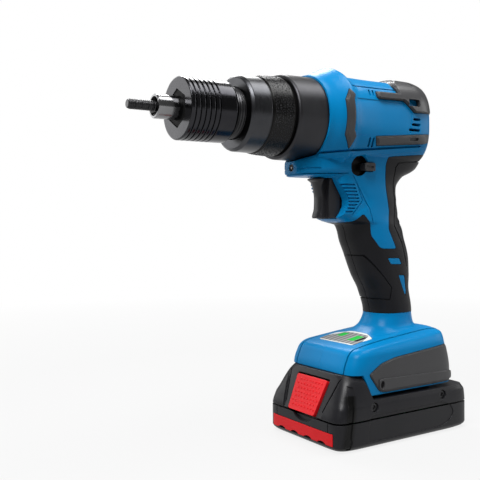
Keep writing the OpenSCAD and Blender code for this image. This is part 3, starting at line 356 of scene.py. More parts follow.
class Tree:
    def __init__(self, tree):
        self.tree = tree

    def node(self, kind, settings=None, outlet=0, **sockets):
        # settings first, then sockets by name (with _ for a space) or by place (i0, i1 ...)
        made = self.tree.nodes.new(kind)
        for key, value in (settings or {}).items():
            if key == "stops":
                ramp = made.color_ramp
                while len(ramp.elements) < len(value):
                    ramp.elements.new(0.5)
                for spot, (place, colour) in zip(ramp.elements, value):
                    spot.position = place
                    spot.color = colour
            else:
                setattr(made, key, value)
        for key, value in sockets.items():
            byPlace = key[0] == "i" and key[1:].isdigit()
            socket = made.inputs[int(key[1:])] if byPlace else made.inputs[key.replace("_", " ")]
            if isinstance(value, Wire):
                self.tree.links.new(value.socket, socket)
            else:
                socket.default_value = value
        return Wire(self.tree, made.outputs[outlet])

    def vector(self, x=0.0, y=0.0, z=0.0):
        return self.node("ShaderNodeCombineXYZ", X=x, Y=y, Z=z)

    def split(self, vector):
        return [self.node("ShaderNodeSeparateXYZ", outlet=i, Vector=vector) for i in range(3)]


class Maker(Tree):
    # a Geometry Nodes tree with named sizes, run once and kept as a plain mesh
    def __init__(self, name, **sizes):
        self.name, self.sizes = name, sizes
        super().__init__(bpy.data.node_groups.new(name, "GeometryNodeTree"))
        self.tree.interface.new_socket("Geometry", in_out="INPUT", socket_type="NodeSocketGeometry")
        for key, value in sizes.items():
            kind = "NodeSocketInt" if isinstance(value, int) else "NodeSocketFloat"
            self.tree.interface.new_socket(key, in_out="INPUT", socket_type=kind)
        self.tree.interface.new_socket("Geometry", in_out="OUTPUT", socket_type="NodeSocketGeometry")
        self.ask = self.tree.nodes.new("NodeGroupInput")

    def __getitem__(self, key):
        return Wire(self.tree, self.ask.outputs[key])

    def chance(self, low, high, draw):
        return self.node("FunctionNodeRandomValue", {"data_type": "FLOAT"}, outlet=1, i2=low, i3=high,
                         i8=self["Seed"] + draw)

    def run(self, geometry, look, verts=()):
        real = self.node("GeometryNodeRealizeInstances", Geometry=geometry)
        done = self.node("GeometryNodeSetMaterial", Geometry=real, Material=look)
        out = self.tree.nodes.new("NodeGroupOutput")
        self.tree.links.new(done.socket, out.inputs[0])
        mesh = bpy.data.meshes.new(self.name)
        mesh.from_pydata([tuple(c * mm for c in v) for v in verts], [], [])
        piece = bpy.data.objects.new(self.name, mesh)
        scene.collection.objects.link(piece)
        way = piece.modifiers.new(self.name, "NODES")
        way.node_group = self.tree
        for item in self.tree.interface.items_tree:
            if item.in_out == "INPUT" and item.name in self.sizes:
                way[item.identifier] = self.sizes[item.name]
        return settle(piece)


class Look(Tree):
    def __init__(self, name):
        self.material = bpy.data.materials.new(name)
        self.material.use_nodes = True
        super().__init__(self.material.node_tree)
        self.tree.nodes.clear()
        self.out = self.tree.nodes.new("ShaderNodeOutputMaterial")

    def place(self):
        return self.node("ShaderNodeTexCoord", outlet="Object")

    def mapped(self, scale):
        return self.node("ShaderNodeMapping", Vector=self.place(), Scale=scale)

    def noise(self, scale, detail=3.0, rough=0.55, where=None):
        return self.node("ShaderNodeTexNoise", Vector=where or self.place(), Scale=scale, Detail=detail,
                         Roughness=rough)

    def ramp(self, value, *stops):
        return self.node("ShaderNodeValToRGB", {"stops": stops}, Fac=value)

    def blend(self, share, first, second):
        return self.node("ShaderNodeMix", {"data_type": "RGBA"}, outlet=2, i0=share, i6=first, i7=second)

    def bump(self, height, distance, strength, normal):
        return self.node("ShaderNodeBump", Height=height, Distance=distance, Strength=strength, Normal=normal)

    def edge(self, radius):
        return self.node("ShaderNodeBevel", {"samples": 4}, Radius=radius)

    def shader(self, **sockets):
        made = self.node("ShaderNodeBsdfPrincipled", **sockets)
        self.tree.links.new(made.socket, self.out.inputs["Surface"])
        return self.material


def grey(v):
    return (v, v, v, 1)


# Finishes: lengths in metres, noise scales per metre
plasticFinish = {"cloud": 22.0, "gloss": 70.0, "glossSpread": 0.08, "bump": 0.6}
steelFinish = {"cloud": 40.0, "drawn": (1, 0.02, 0.02), "cloudSpread": 0.06, "bump": 0.5, "edge": 0.00025}


def mouldedPlastic(name, colour, deep, rough, grain=900.0, grainDepth=0.00004, edge=0.0004, specular=0.5,
                   shade=None):
    look = Look(name)
    cloud = look.noise(plasticFinish["cloud"], 4.0)
    fine = look.noise(grain, 2.0, 0.5)
    tint = look.blend(look.ramp(cloud, (0.3, grey(0)), (0.7, grey(1))), deep, colour)
    if shade:
        tint = shade(look, tint)
    gloss = rough + (look.noise(plasticFinish["gloss"]) - 0.5) * plasticFinish["glossSpread"]
    normal = look.bump(fine, grainDepth, plasticFinish["bump"], look.edge(edge))
    return look.shader(Base_Color=tint, Roughness=gloss, Normal=normal, Specular_IOR_Level=specular)


def turnedSteel(name, colour, deep, rough, metal=1.0, lineScale=2600.0, lineDepth=0.00001, spread=0.16,
                shade=None):
    look = Look(name)
    lines = look.noise(lineScale, 2.0, 0.6, look.mapped(steelFinish["drawn"]))
    cloud = look.noise(steelFinish["cloud"])
    tint = look.blend(look.ramp(cloud, (0.35, grey(0)), (0.65, grey(1))), deep, colour)
    if shade:
        tint = shade(look, tint)
    gloss = rough + (lines - 0.5) * spread + (cloud - 0.5) * steelFinish["cloudSpread"]
    normal = look.bump(lines, lineDepth, steelFinish["bump"], look.edge(steelFinish["edge"]))
    return look.shader(Base_Color=tint, Roughness=gloss, Normal=normal, Metallic=metal)


# where painted shade goes into the blue: the selector's well and the foot's seams
recessShade = {"wellX": -0.023, "wellZ": 0.1795, "wellR": 0.00678, "wellY": 0.0198, "seamY": 0.0244,
            "seamHalf": 0.00054, "seamLow": 0.045, "seamHigh": 0.072, "black": 0.002}


def paintedRecessShade(look, tint):
    # painted shade: the selector's round well and the foot's seams are painted black where shade falls in
    # them
    at = recessShade
    x, y, z = look.split(look.place())
    across = (x - at["wellX"]).maths("POWER", 2) + (z - at["wellZ"]).maths("POWER", 2)
    well = (across < at["wellR"] ** 2) * (abs(y) < at["wellY"])
    seam = (abs(abs(y) - at["seamY"]) < at["seamHalf"]) * (z < at["seamHigh"]) * (z > at["seamLow"])
    return look.blend(well.maths("MAXIMUM", seam), tint, grey(at["black"]))


# cells are (x, y, half length, half width)
levelMarks = {"borderY": 0.0072, "slant": 0.55, "borderX": (-0.0178, 0.0092), "bars": 1500.0, "barEdge": 0.1,
              "barTones": (0.15, 0.26), "green": (0.03, 0.36, 0.06, 1), "dark": 0.02,
              "greenCells": ((-0.0135, 0.0085, 0.0035, 0.003), (-0.0165, -0.0075, 0.005, 0.0032)),
              "darkCell": (-0.0165, -0.0128, 0.005, 0.0016)}


def levelPrint(look, tint):
    # charge-level print: pale border, green and dark cells, fine grey bars
    marks = levelMarks
    x, y, _ = look.split(look.place())

    def cell(midX, midY, halfX, halfY):
        return (abs(y - midY) < halfY) * (abs(x - midX) < halfX)

    middle, half = marks["borderX"]
    border = (abs(y) + x * marks["slant"] > marks["borderY"]).maths("MAXIMUM", abs(x - middle) > half)
    bars = (y * marks["bars"]).maths("SINE") > marks["barEdge"]
    pale, paler = marks["barTones"]
    field = look.blend(bars, grey(pale), grey(paler))
    front, rear = marks["greenCells"]
    field = look.blend(cell(*front).maths("MAXIMUM", cell(*rear)), field, marks["green"])
    field = look.blend(cell(*marks["darkCell"]), field, grey(marks["dark"]))
    return look.blend(border, field, tint)


# painted shade down the battery's front corners, standing in for their dark reflection
cornerShade = {"front": -0.0502, "lean": 0.165, "half": 0.0048, "soft": 0.0026, "side": 0.03, "top": 0.034,
          "black": 0.002}


def paintedCornerShade(look, tint):
    # painted shade: a black strip painted round the battery's front corners for the dark reflection there
    x, y, z = look.split(look.place())
    near = (cornerShade["half"] - abs(x - cornerShade["front"] - z * cornerShade["lean"])) / cornerShade["soft"]
    strip = near.clamped() * (abs(y) > cornerShade["side"]) * (z < cornerShade["top"])
    return look.blend(strip, tint, grey(cornerShade["black"]))


# boreR and bore set the painted shade in the anvil's bore; bandFrom and band set the stippled band's own
# darker tone
noseTones = {"boreR": 0.0057, "bore": 0.005, "bandFrom": -0.0938, "band": 0.018}


def paintedBoreShade(look, tint):
    # painted shade: the anvil's bore is painted near black for the shade inside it
    _, y, z = look.split(look.place())
    across = y.maths("POWER", 2) + (z - axisZ * mm).maths("POWER", 2)
    return look.blend(across < noseTones["boreR"] ** 2, tint, grey(noseTones["bore"]))


def bandShade(look, tint):
    # the stippled band behind the collar is darker
    x, _, _ = look.split(look.place())
    return look.blend(x > noseTones["bandFrom"], tint, grey(noseTones["band"]))


looks = {
    # the blue carries painted shade, black in its well and seams
    "blue_plastic": mouldedPlastic("semiGlossBlue", (0.001, 0.175, 0.41, 1), (0.001, 0.158, 0.375, 1), 0.3,
                                   specular=0.08, shade=paintedRecessShade),
    "grey_plastic": mouldedPlastic("satinGreyTrim", (0.042, 0.042, 0.044, 1), (0.034, 0.034, 0.036, 1), 0.32,
                                   edge=0.0006, specular=0.3),
    "black_plastic": mouldedPlastic("satinBlackPlastic", (0.022, 0.022, 0.025, 1), (0.015, 0.015, 0.017, 1),
                                    0.34, specular=0.25),
    # the battery case carries painted shade, a black strip down its front corners
    "battery_plastic": mouldedPlastic("charcoalCase", (0.014, 0.014, 0.016, 1), (0.01, 0.01, 0.012, 1), 0.34,
                                      grain=1400.0, edge=0.0006, specular=0.18, shade=paintedCornerShade),
    "red_plastic": mouldedPlastic("signalRed", (0.64, 0.01, 0.015, 1), (0.56, 0.008, 0.012, 1), 0.36,
                                  specular=0.14),
    "grip_rubber": mouldedPlastic("softGripRubber", (0.007, 0.007, 0.009, 1), (0.005, 0.005, 0.006, 1), 0.44,
                                  grain=1500.0, grainDepth=0.00009, specular=0.14),
    "seal_rubber": mouldedPlastic("mattSealRubber", (0.004, 0.004, 0.004, 1), (0.003, 0.003, 0.003, 1), 0.6,
                                  specular=0.08),
    "bright_steel": turnedSteel("groundSteel", (0.6, 0.6, 0.61, 1), (0.48, 0.48, 0.49, 1), 0.24),
    "black_steel": turnedSteel("blackOxide", (0.03, 0.03, 0.032, 1), (0.02, 0.02, 0.022, 1), 0.3, 0.6),
    "alloy": turnedSteel("dieCastAlloy", (0.58, 0.58, 0.58, 1), (0.46, 0.46, 0.47, 1), 0.45,
                         lineDepth=0.00002),
    "motor_iron": turnedSteel("laminatedIron", (0.28, 0.28, 0.29, 1), (0.2, 0.2, 0.21, 1), 0.45,
                              lineScale=4200.0),
    "copper": turnedSteel("drawnCopper", (0.75, 0.36, 0.16, 1), (0.55, 0.24, 0.1, 1), 0.32),
    "nickel": turnedSteel("nickelStrip", (0.66, 0.65, 0.6, 1), (0.55, 0.54, 0.5, 1), 0.34),
    "lens": mouldedPlastic("smokedLens", (0.06, 0.06, 0.06, 1), (0.04, 0.04, 0.04, 1), 0.1),
    "lead_sleeve": mouldedPlastic("leadSleeve", (0.35, 0.02, 0.02, 1), (0.28, 0.016, 0.016, 1), 0.5),
    "panel_print": mouldedPlastic("panelFilm", (0.6, 0.62, 0.61, 1), (0.55, 0.57, 0.56, 1), 0.7, grain=2000.0,
                                  specular=0.0, shade=levelPrint),
    "cell_wrap": mouldedPlastic("shrinkWrap", (0.08, 0.4, 0.2, 1), (0.06, 0.33, 0.16, 1), 0.3),
    "board": mouldedPlastic("solderMask", (0.02, 0.16, 0.05, 1), (0.014, 0.12, 0.04, 1), 0.35),
}
noseLooks = {
    "sleeve": turnedSteel("glossDarkSleeve", (0.034, 0.034, 0.037, 1), (0.026, 0.026, 0.029, 1), 0.2,
                          lineScale=1800.0),
    # the anvil carries painted shade, near black inside its bore
    "anvil": turnedSteel("polishedAnvil", (0.22, 0.22, 0.225, 1), (0.17, 0.17, 0.175, 1), 0.18,
                         shade=paintedBoreShade),
    "collar": turnedSteel("satinGreyCollar", (0.055, 0.056, 0.06, 1), (0.042, 0.043, 0.047, 1), 0.3,
                          shade=bandShade),
    "shell": turnedSteel("satinBlackShell", (0.04, 0.04, 0.043, 1), (0.032, 0.032, 0.035, 1), 0.4,
                         spread=0.1),
}
print("looks made:", len(looks) + len(noseLooks))

# CAD nodes that stay get their slot's finish
for part in frame["record"]["subparts"]:
    node = frame["nodes"][part["node"]]
    node.data.materials.clear()
    node.data.materials.append(looks[part["material_slot"]])


# Body forms, grown or shrunk by d
def barrelForm(d=0.0, start=-999.0, around=144, along=130):
    # rows of x, half width, half height, squareness, flattened top
    out = 0.8 * max(d, 0)  # the rear end grows less than the sides
    rows = [
        [-54, 28.4, 28.4, 2, 0], [-51.48, 29.14, 29, 2, 0], [-46.02, 31.59, 31.17, 2, 0],
        [-39.44, 33.4, 33.9, 2, 0], [-37.62, 33.6, 34.6, 2, 0], [-36.36, 33.4, 34, 2.05, 0],
        [-33.56, 32.58, 30.9, 2.2, 0.2], [-31.04, 32, 30.1, 2.3, 0.5], [-26, 31.41, 29.9, 2.45, 0.7],
        [-12, 30.6, 29.7, 2.55, 0.7], [21.55, 30.2, 29.7, 2.7, 0.7],
        [31.55, 28.6 - 0.5 * out, 29.1 - 0.3 * out, 2.7, 0.6],
        [36.55 + d / 2 - out / 2, 24.6 - out, 25.6 - out, 2.6, 0.5],
        [38.55 + d - out, 19.4 - out, 20.6 - out, 2.4, 0.4],
    ]
    rows = [r for r in eased(rows, along) if r[0] >= start]
    return skin([uprightRing(r[0], axisZ, r[1] + d, r[2] + d, r[3], around, r[4]) for r in rows])


def rearForm(d):
    return barrelForm(d, start=-30)


def gripForm(d=0.0, low=-999.0, high=999.0, around=144, along=170):
    # rows of z, middle, half length, half width, squareness, tilt
    rows = [
        [32, 4.2, 47, 34, 9, 0], [45.92, 4, 46, 34, 9, 0], [57.92, 4.3, 43, 33.4, 8.5, 0.05],
        [63.2, 5.9, 41.2, 31.2, 7.5, 0.075], [66.08, 8.2, 34.4, 25.6, 5, 0.1], [68, 14, 24.43, 18.96, 3, 0.1],
        [72.32, 18.8, 18.33, 16.14, 2.6, 0.03], [80, 20, 16.5, 15.2, 2.4, 0],
        [95.25, 16.32, 17.27, 15.46, 2.5, 0], [106.84, 13, 20.34, 16.5, 2.6, 0],
        [120.26, 9.51, 22.5, 17.4, 2.6, 0], [130.02, 5.65, 22.9, 17.8, 2.6, 0],
        [141, 1.6, 22.9, 17.8, 2.6, 0], [143.31, -3.6, 28, 17.8, 2.7, 0], [146.94, -7.6, 30, 17.8, 2.9, 0],
        [151.89, -4.6, 25.6, 17.8, 3, 0], [156.84, -2.9, 22.6, 18, 3, 0], [163.11, -6.5, 25.8, 18.4, 3, 0],
        [169.05, -9.5, 30.6, 18.8, 3, 0], [174, -8.8, 35.2, 19.4, 3, 0], [177, -6.4, 40.1, 20, 3.1, 0],
        [180, -4.8, 43.3, 20.6, 3.2, 0], [186, -4, 45.8, 22, 3.2, 0], [190, -4, 45.8, 22.2, 3.2, 0],
    ]
    rows = [r for r in eased(rows, along) if low <= r[0] <= high]
    return skin([levelRing(r[0], r[1], r[2] + d, r[3] + d, r[4], r[5], around) for r in rows])


def footForm(d):
    return gripForm(d, low=32, high=85)


def chinForm(d=0.0, square=4.2, around=96, along=60):
    # rows of x, middle, half width, half height
    rows = [
        [-63.6, 177.9, 6.4, 4.2], [-62.2, 178.1, 9.2, 5.6], [-57, 179.4, 13.2, 7.1], [-50, 181.3, 16.6, 9],
        [-38, 183.3, 18.8, 11], [-24, 184, 20, 11.9],
    ]
    return skin([uprightRing(r[0], r[1], r[2] + d, r[3] + d, square, around) for r in eased(rows, along)])


def guardForm(d=0.0, middle=-17, square=5, around=96, along=40):
    # cheeks either side of the trigger's rear end: rows of z, half length, half width
    rows = [
        [143.4, 14, 12.5], [145.5, 18, 15.2], [148.5, 20.5, 16.8], [158, 21, 17.4], [171, 21, 17.9],
        [174, 20, 17.9],
    ]
    return skin([levelRing(r[0], middle, r[1] + d, r[2] + d, square, 0, around) for r in eased(rows, along)])


# Trim let into the sides, outlines in (x, z), layers of (inset, height over the form)
bed = {"gap": 0.22, "deep": 1.0, "seat": 0.05}  # gap round a piece, depth of its bed, gap under it
rearCover = {
    "outline": [(-15.95, 227), (-15.95, 222.9), (-15.15, 222.1), (7.05, 222.7), (16.15, 215.2),
                (50.55, 217.2), (50.55, 259.5), (12.05, 259.5), (12.05, 239.5), (5.55, 236.9),
                (2.85, 232.5), (4.15, 227.5)],
    "ease": 1.4, "layers": ((0, 1.3), (0.35, 1.8), (0.75, 2.3)),
    "slot": [(10.6, 219.4), (20.8, 219.4), (20.8, 224.1), (10.6, 224.1)], "slotEase": 1.2, "slotFloor": 20,
    "topSlot": (21.2, 236, 2.6, 80, 0.8), "topSlotFrom": 8, "topSlotFloor": 1.0,
}
sideBars = {
    "outline": [(-17.75, 197.7), (-15.35, 192.1), (26.55, 195.2), (32.55, 196.6), (32.55, 202)],
    "ease": 0.9, "layers": ((0, 0.5), (0.7, 0.9), (1.2, 1.3)),
    "slot": (15.8, 197.6, 6.4, 3.5, 1.0), "slotFloor": 0.1,
}
accentStrips = {
    "outline": [(-39.6, 226.3), (-44.1, 219), (-43.9, 197.2), (-38.6, 189.1), (-36.1, 196.4), (-38.5, 200.2),
                (-38.4, 219.5), (-36.5, 222.7)],
    "ease": 0.6, "layers": ((0, 0.6), (0.5, 1.1), (1.0, 1.6)),
}
footPlates = {
    "outline": [(-28.5, 45.5), (-18, 51.5), (-5.7, 54.2), (43.5, 58.5), (47.5, 44), (47.5, 33), (-15, 33),
                (-20, 34)],
    "ease": 2.0, "layers": ((0, 0.4), (0.5, 0.8)),
    "band": [(-20.8, 41.6), (-20.8, 36), (-18, 34.8), (47.5, 34.8), (47.5, 40.2), (-17.5, 41.9)],
    "bandEase": 2.2, "bandProud": 1.7, "hole": (-18.4, 38.2, 1.7, 1.5), "holeDeep": 0.5,
}
rubberGrips = {
    "outline": [(-70, 80), (-70, 140.4), (-38, 140.4), (-24, 143), (-17.8, 148), (-10.7, 141.3),
                (-9.4, 133.4), (-2.9, 125.6), (0.1, 124.5), (12.2, 124.2), (4.8, 137.9), (5.8, 150),
                (2.2, 164.2), (-0.5, 180.9), (0.5, 185.9), (68.55, 191.5), (68.55, 80)],
    "ease": 1.8, "thick": 1.6, "proud": 0.1, "foot": 79.9, "front": -20, "seam": 0.25,
    "windows": ([(4.2, 118.3), (15, 118), (17.8, 113.4), (7.4, 113.8)],
                [(14.9, 106.3), (21.1, 106), (23.9, 94.8), (22.9, 91.4)]), "windowEase": 1.0,
    "panelLine": [(-25.8, 120.9), (-10.8, 120.1), (9.6, 97.7), (9.1, 89.5), (-15.5, 91.1)],
    "rearLine": [(60, 187), (11, 182.4), (8.8, 179.2), (9.8, 168.3), (11.8, 157), (11.9, 147.9),
                 (10.4, 140.1), (18.2, 128), (24, 112)],
    "lineWidth": 0.8, "lineDeep": 0.6,
}
levelPanel = {
    "outline": [(-28, -17.5), (-11, -18.5), (-7, -10), (-7, 10), (-11, 18.5), (-28, 17.5)],
    "ease": 2.5, "proud": 0.3, "low": 50, "high": 100,
}


def bedTool(trim, form, way="y", low=-wide, high=wide):
    # the outline's prism outside the shrunk form
    tool = prism(rounded(grown(trim["outline"], bed["gap"]), trim["ease"]), low, high, way)
    return carve(tool, form(-bed["deep"]))


def layered(trim, form):
    # raised trim with stepped edges, seated in its bed
    piece = None
    for inset, proud in trim["layers"]:
        layer = prism(rounded(grown(trim["outline"], -inset), trim["ease"]))
        piece = unite(piece, common(layer, form(proud)))
    return carve(piece, form(bed["seat"] - bed["deep"]))


def gripArea(grow=0.0):
    area = prism(rounded(grown(rubberGrips["outline"], grow), rubberGrips["ease"]))
    for window in rubberGrips["windows"]:
        opening = rounded(grown(window, -grow), rubberGrips["windowEase"])
        carve(area, prism(opening, -wide - 1, wide + 1))
    return area


# Housing; a groove is (width, depth), a slot (x, z, length, lean), a screw (x, z, seat)
housing = {
    "ledge": [(-56, 185.7), (-56, 182.5), (22.55, 189.7), (28.95, 191.3), (24.25, 192.9)],
    "ledgeEase": 0.8, "ledgeProud": 1.2,
    "ledgeLine": [(-56, 186.4), (24.2, 193.6)], "ledgeGroove": (1.2, 0.9),
    "creaseLine": [(-35.6, 229.1), (5.4, 229.9)], "creaseGroove": (0.7, 0.5),
    "sidePanel": [(-35.6, 220.7), (-15.9, 221.1), (7.6, 221.3), (14.6, 214.6), (13.2, 201.2), (3.4, 199.9),
                  (-35, 197.3)],
    "panelEase": 1.0, "panelDeep": 0.3,
    "chinLines": ([(-66, 176.9), (-51.9, 177.3)], [(-66, 173.6), (-31, 174.4)]), "chinGroove": (0.7, 0.5),
    "guardLines": ([(-24.8, 169.5), (-18.2, 156.8), (-26.2, 148)],
                   [(-27.2, 173), (-12.4, 151.5), (-9.2, 142)]), "guardGroove": (0.8, 0.5),
    "triggerMouth": [(-90, 171.7), (-37.8, 171.7), (-36.6, 169.2), (-33.8, 164.6), (-31.1, 160.5),
                     (-29.5, 157.3), (-29.6, 153.1), (-32, 148.9), (-35.4, 145.1), (-90, 145.1)],
    "mouthEase": 1.0,
    "vents": ((18.95, 211.1, 5.4, 0), (18.15, 207.5, 6.4, 0), (16.95, 203.9, 8.6, 0)), "ventFloor": 20,
    "ticks": ((-21.4, 225.5, 2.6, 85), (-18.2, 225.5, 2.6, 85), (-22.2, 193.9, 4.4, 95),
              (-19, 193.9, 4.4, 95)), "tickFloor": 23, "slotR": 0.9,
    "screws": ((-45, 177.1, 9), (28.55, 178.5, 9), (15.9, 136.1, 9), (21.1, 109.9, 9), (-30, 52, 20),
               (40, 52, 20)), "screwSeat": 3.1,
    "parting": 0.01,
}
footSeam = {"y": 24.4, "half": 0.55, "along": (-60, 70), "low": 45.4, "high": 72, "deep": 0.8, "drop": 0.9}
# what the housing is hollowed for; rooms are blocks from low to high x, y and z
hollows = {
    "bore": [(-90, 0), (-90, 27.55), (-54, 27.55), (-54, 25.05), (-24.15, 25.05), (-24.15, 27), (23.85, 27),
             (23.85, 22.5), (32.55, 22.5), (32.55, 8.05), (36.1, 8.05), (36.1, 0)],
    "wall": 2.6, "gripRoom": (-90, 90, -wide, wide, 46.95, 187.5),
    "railRooms": ((-64, 40.35, -20.35, 20.35, 31, 42.35), (-64, 40.35, -24.35, 24.35, 37.65, 42.35)),
    "batteryRoof": [(-100, 12), (-100, 45.55), (-32.95, 45.55), (-26.45, 31.99), (-26.45, 12)],
    "triggerRoom": (-90, -13.5, -9.65, 9.65, 145.05, 171.75),
    "selectorRoom": (-20.85, -11.05, -40, 40, 175.65, 181.75),
    "well": (-23, 179.5), "wellR": 6.6, "wellFloor": 17.4, "wellBack": 16, "wellWall": 0.8,
    "lampBore": (-70, -59.5, 2.45), "lampZ": 177.9,
}
guardRibs = {"Count": 9, "Pitch": 0.0022, "Start": 0.1495, "Slot": 0.001, "Middle": -0.03, "Length": 0.04,
             "Width": 0.06}
ribArea = {"outline": [(-45, 174), (-26.3, 169.5), (-20.6, 156.8), (-27.2, 148.4), (-45, 143)], "deep": 1}


def ribTool():
    # level slots that leave ribs on the guard behind the trigger
    maker = Maker("guardRibs", **guardRibs)
    row = maker.node("GeometryNodeMeshLine", {"mode": "OFFSET"}, Count=maker["Count"],
                     Start_Location=maker.vector(maker["Middle"], 0.0, maker["Start"]),
                     Offset=maker.vector(0.0, 0.0, maker["Pitch"]))
    size = maker.vector(maker["Length"], maker["Width"], maker["Slot"])
    bar = maker.node("GeometryNodeMeshCube", Size=size)
    made = maker.node("GeometryNodeInstanceOnPoints", Points=row, Instance=bar)
    tool = common(maker.run(made, looks["blue_plastic"]), prism(ribArea["outline"]))
    return carve(carve(tool, gripForm(-ribArea["deep"], 135)), guardForm(-ribArea["deep"]))


def screwSeats(piece):
    for x, z, seat in housing["screws"]:
        carve(piece, prism(disc(x, z, housing["screwSeat"]), seat, wide))


def unitedBody():
    body = barrelForm()
    ledge = prism(rounded(housing["ledge"], housing["ledgeEase"]))
    common(ledge, barrelForm(housing["ledgeProud"]))
    for form in (gripForm(), chinForm(), guardForm(), ledge):
        unite(body, form)
    print("body united:", len(body.data.polygons))
    return body


def trimBody(body):
    for line, groove in (("ledgeLine", "ledgeGroove"), ("creaseLine", "creaseGroove")):
        width, deep = housing[groove]
        grooved(body, housing[line], width, barrelForm(-deep))
    sidePanel = prism(rounded(housing["sidePanel"], housing["panelEase"]))
    carve(body, carve(sidePanel, barrelForm(-housing["panelDeep"])))
    rubberBed = gripArea(bed["gap"])
    carve(rubberBed, gripForm(-rubberGrips["thick"]))
    carve(body, carve(rubberBed, barrelForm(-rubberGrips["thick"])))
    carve(body, bedTool(footPlates, footForm))
    carve(body, bedTool(levelPanel, footForm, "z", levelPanel["low"], levelPanel["high"]))
    for trim in (rearCover, sideBars, accentStrips):
        carve(body, bedTool(trim, barrelForm))
    width, deep = housing["chinGroove"]
    for line in housing["chinLines"]:
        grooved(body, line, width, chinForm(-deep), gripForm(-deep, 150), guardForm(-deep))
    width, deep = housing["guardGroove"]
    for line in housing["guardLines"]:
        grooved(body, line, width, gripForm(-deep, 120), guardForm(-deep))
    carve(body, prism(rounded(housing["triggerMouth"], housing["mouthEase"])))
    carve(body, ribTool())
    for side in sides:
        y = side * footSeam["y"]
        under = gripForm(-footSeam["deep"])
        under.data.transform(Matrix.Translation((0, 0, -footSeam["drop"] * mm)))
        seam = block(*footSeam["along"], y - footSeam["half"], y + footSeam["half"], footSeam["low"],
                     footSeam["high"])
        carve(body, carve(seam, under))
        for cut, floor in (("vents", "ventFloor"), ("ticks", "tickFloor")):
            for place in housing[cut]:
                carve(body, prism(slot(*place, housing["slotR"]), *outside(side, housing[floor])))
    print("body trimmed:", len(body.data.polygons))


def hollowBody(body):
    carve(body, turned(hollows["bore"], 96))
    hollow = gripForm(-hollows["wall"], around=64, along=60)
    for side in sides:
        backing = disc(*hollows["well"], hollows["wellR"] + hollows["wellWall"])
        carve(hollow, prism(backing, *outside(side, hollows["wellBack"])))
    carve(body, common(hollow, block(*hollows["gripRoom"])))
    for room in hollows["railRooms"]:
        carve(body, block(*room))
    carve(body, prism(hollows["batteryRoof"]))
    carve(body, block(*hollows["triggerRoom"]))
    carve(body, block(*hollows["selectorRoom"]))
    for side in sides:
        carve(body, prism(disc(*hollows["well"], hollows["wellR"]), *outside(side, hollows["wellFloor"])))
    carve(body, rod(*hollows["lampBore"], 48, hollows["lampZ"]))
    screwSeats(body)
    print("body hollowed:", len(body.data.polygons))


def makeBody():
    body = unitedBody()
    trimBody(body)
    hollowBody(body)
    right = twin(body, "bodyRight")
    carve(body, slab(-housing["parting"], farOff))
    carve(right, slab(-farOff, housing["parting"]))
    dress(body, "bodyLeft", "tool", "blue_plastic", looks["blue_plastic"], "left_housing")
    dress(right, "bodyRight", "tool", "blue_plastic", looks["blue_plastic"], "right_housing")


def makeTrim():
    trimGrey = looks["grey_plastic"]
    cover = layered(rearCover, rearForm)
    for side in sides:
        opening = rounded(rearCover["slot"], rearCover["slotEase"])
        carve(cover, prism(opening, *outside(side, rearCover["slotFloor"])))
        topSlot = prism(slot(*rearCover["topSlot"]), *outside(side, rearCover["topSlotFrom"]))
        carve(cover, carve(topSlot, rearForm(rearCover["topSlotFloor"])))
    dress(cover, "rearCover", "tool", "grey_plastic", trimGrey, "rear_cover")
    bars = layered(sideBars, rearForm)
    carve(bars, carve(prism(slot(*sideBars["slot"])), rearForm(sideBars["slotFloor"])))
    dress(bars, "sideBars", "tool", "grey_plastic", trimGrey, "side_bars")
    strips = layered(accentStrips, barrelForm)
    dress(strips, "accentStrips", "tool", "grey_plastic", trimGrey, "accent_strips")
    plates = layered(footPlates, footForm)
    band = prism(rounded(footPlates["band"], footPlates["bandEase"]))
    common(band, footForm(footPlates["bandProud"]))
    unite(plates, carve(band, footForm(0)))
    carve(plates, carve(prism(disc(*footPlates["hole"])), footForm(-footPlates["holeDeep"])))
    dress(plates, "footPlates", "tool", "grey_plastic", trimGrey, "foot_plates")
    film = rounded(levelPanel["outline"], levelPanel["ease"])
    panel = prism(film, levelPanel["low"], levelPanel["high"], "z")
    common(panel, footForm(levelPanel["proud"]))
    carve(panel, footForm(bed["seat"] - bed["deep"]))
    dress(panel, "levelPanel", "tool", "panel_print", looks["panel_print"], "level_panel")
    print("trim made")


def makeRubber():
    foot, front = rubberGrips["foot"], rubberGrips["front"]
    rubber = gripArea()
    cloak = gripForm(rubberGrips["proud"], foot)
    unite(cloak, barrelForm(rubberGrips["proud"], front))
    common(rubber, cloak)
    inner = bed["seat"] - rubberGrips["thick"]
    carve(rubber, gripForm(inner, foot))
    carve(rubber, barrelForm(inner, front))
    deep = rubberGrips["lineDeep"]
    for line in (rubberGrips["panelLine"], rubberGrips["rearLine"]):
        grooved(rubber, line, rubberGrips["lineWidth"], gripForm(-deep, foot), barrelForm(-deep, front))
    carve(rubber, slab(-rubberGrips["seam"], rubberGrips["seam"]))
    screwSeats(rubber)
    dress(rubber, "rubberGrips", "tool", "grip_rubber", looks["grip_rubber"], "rubber_grips")
    print("rubber made")


makeBody()
makeTrim()
makeRubber()

# Screw heads: hex sockets in the housing's right side and in the battery's sides
screwHead = {"Radius": 0.0029, "Height": 0.0013, "Socket": 0.0016, "Deep": 0.0009, "Taper": 0.86}
screwLift = 0.05  # over the seat, mm


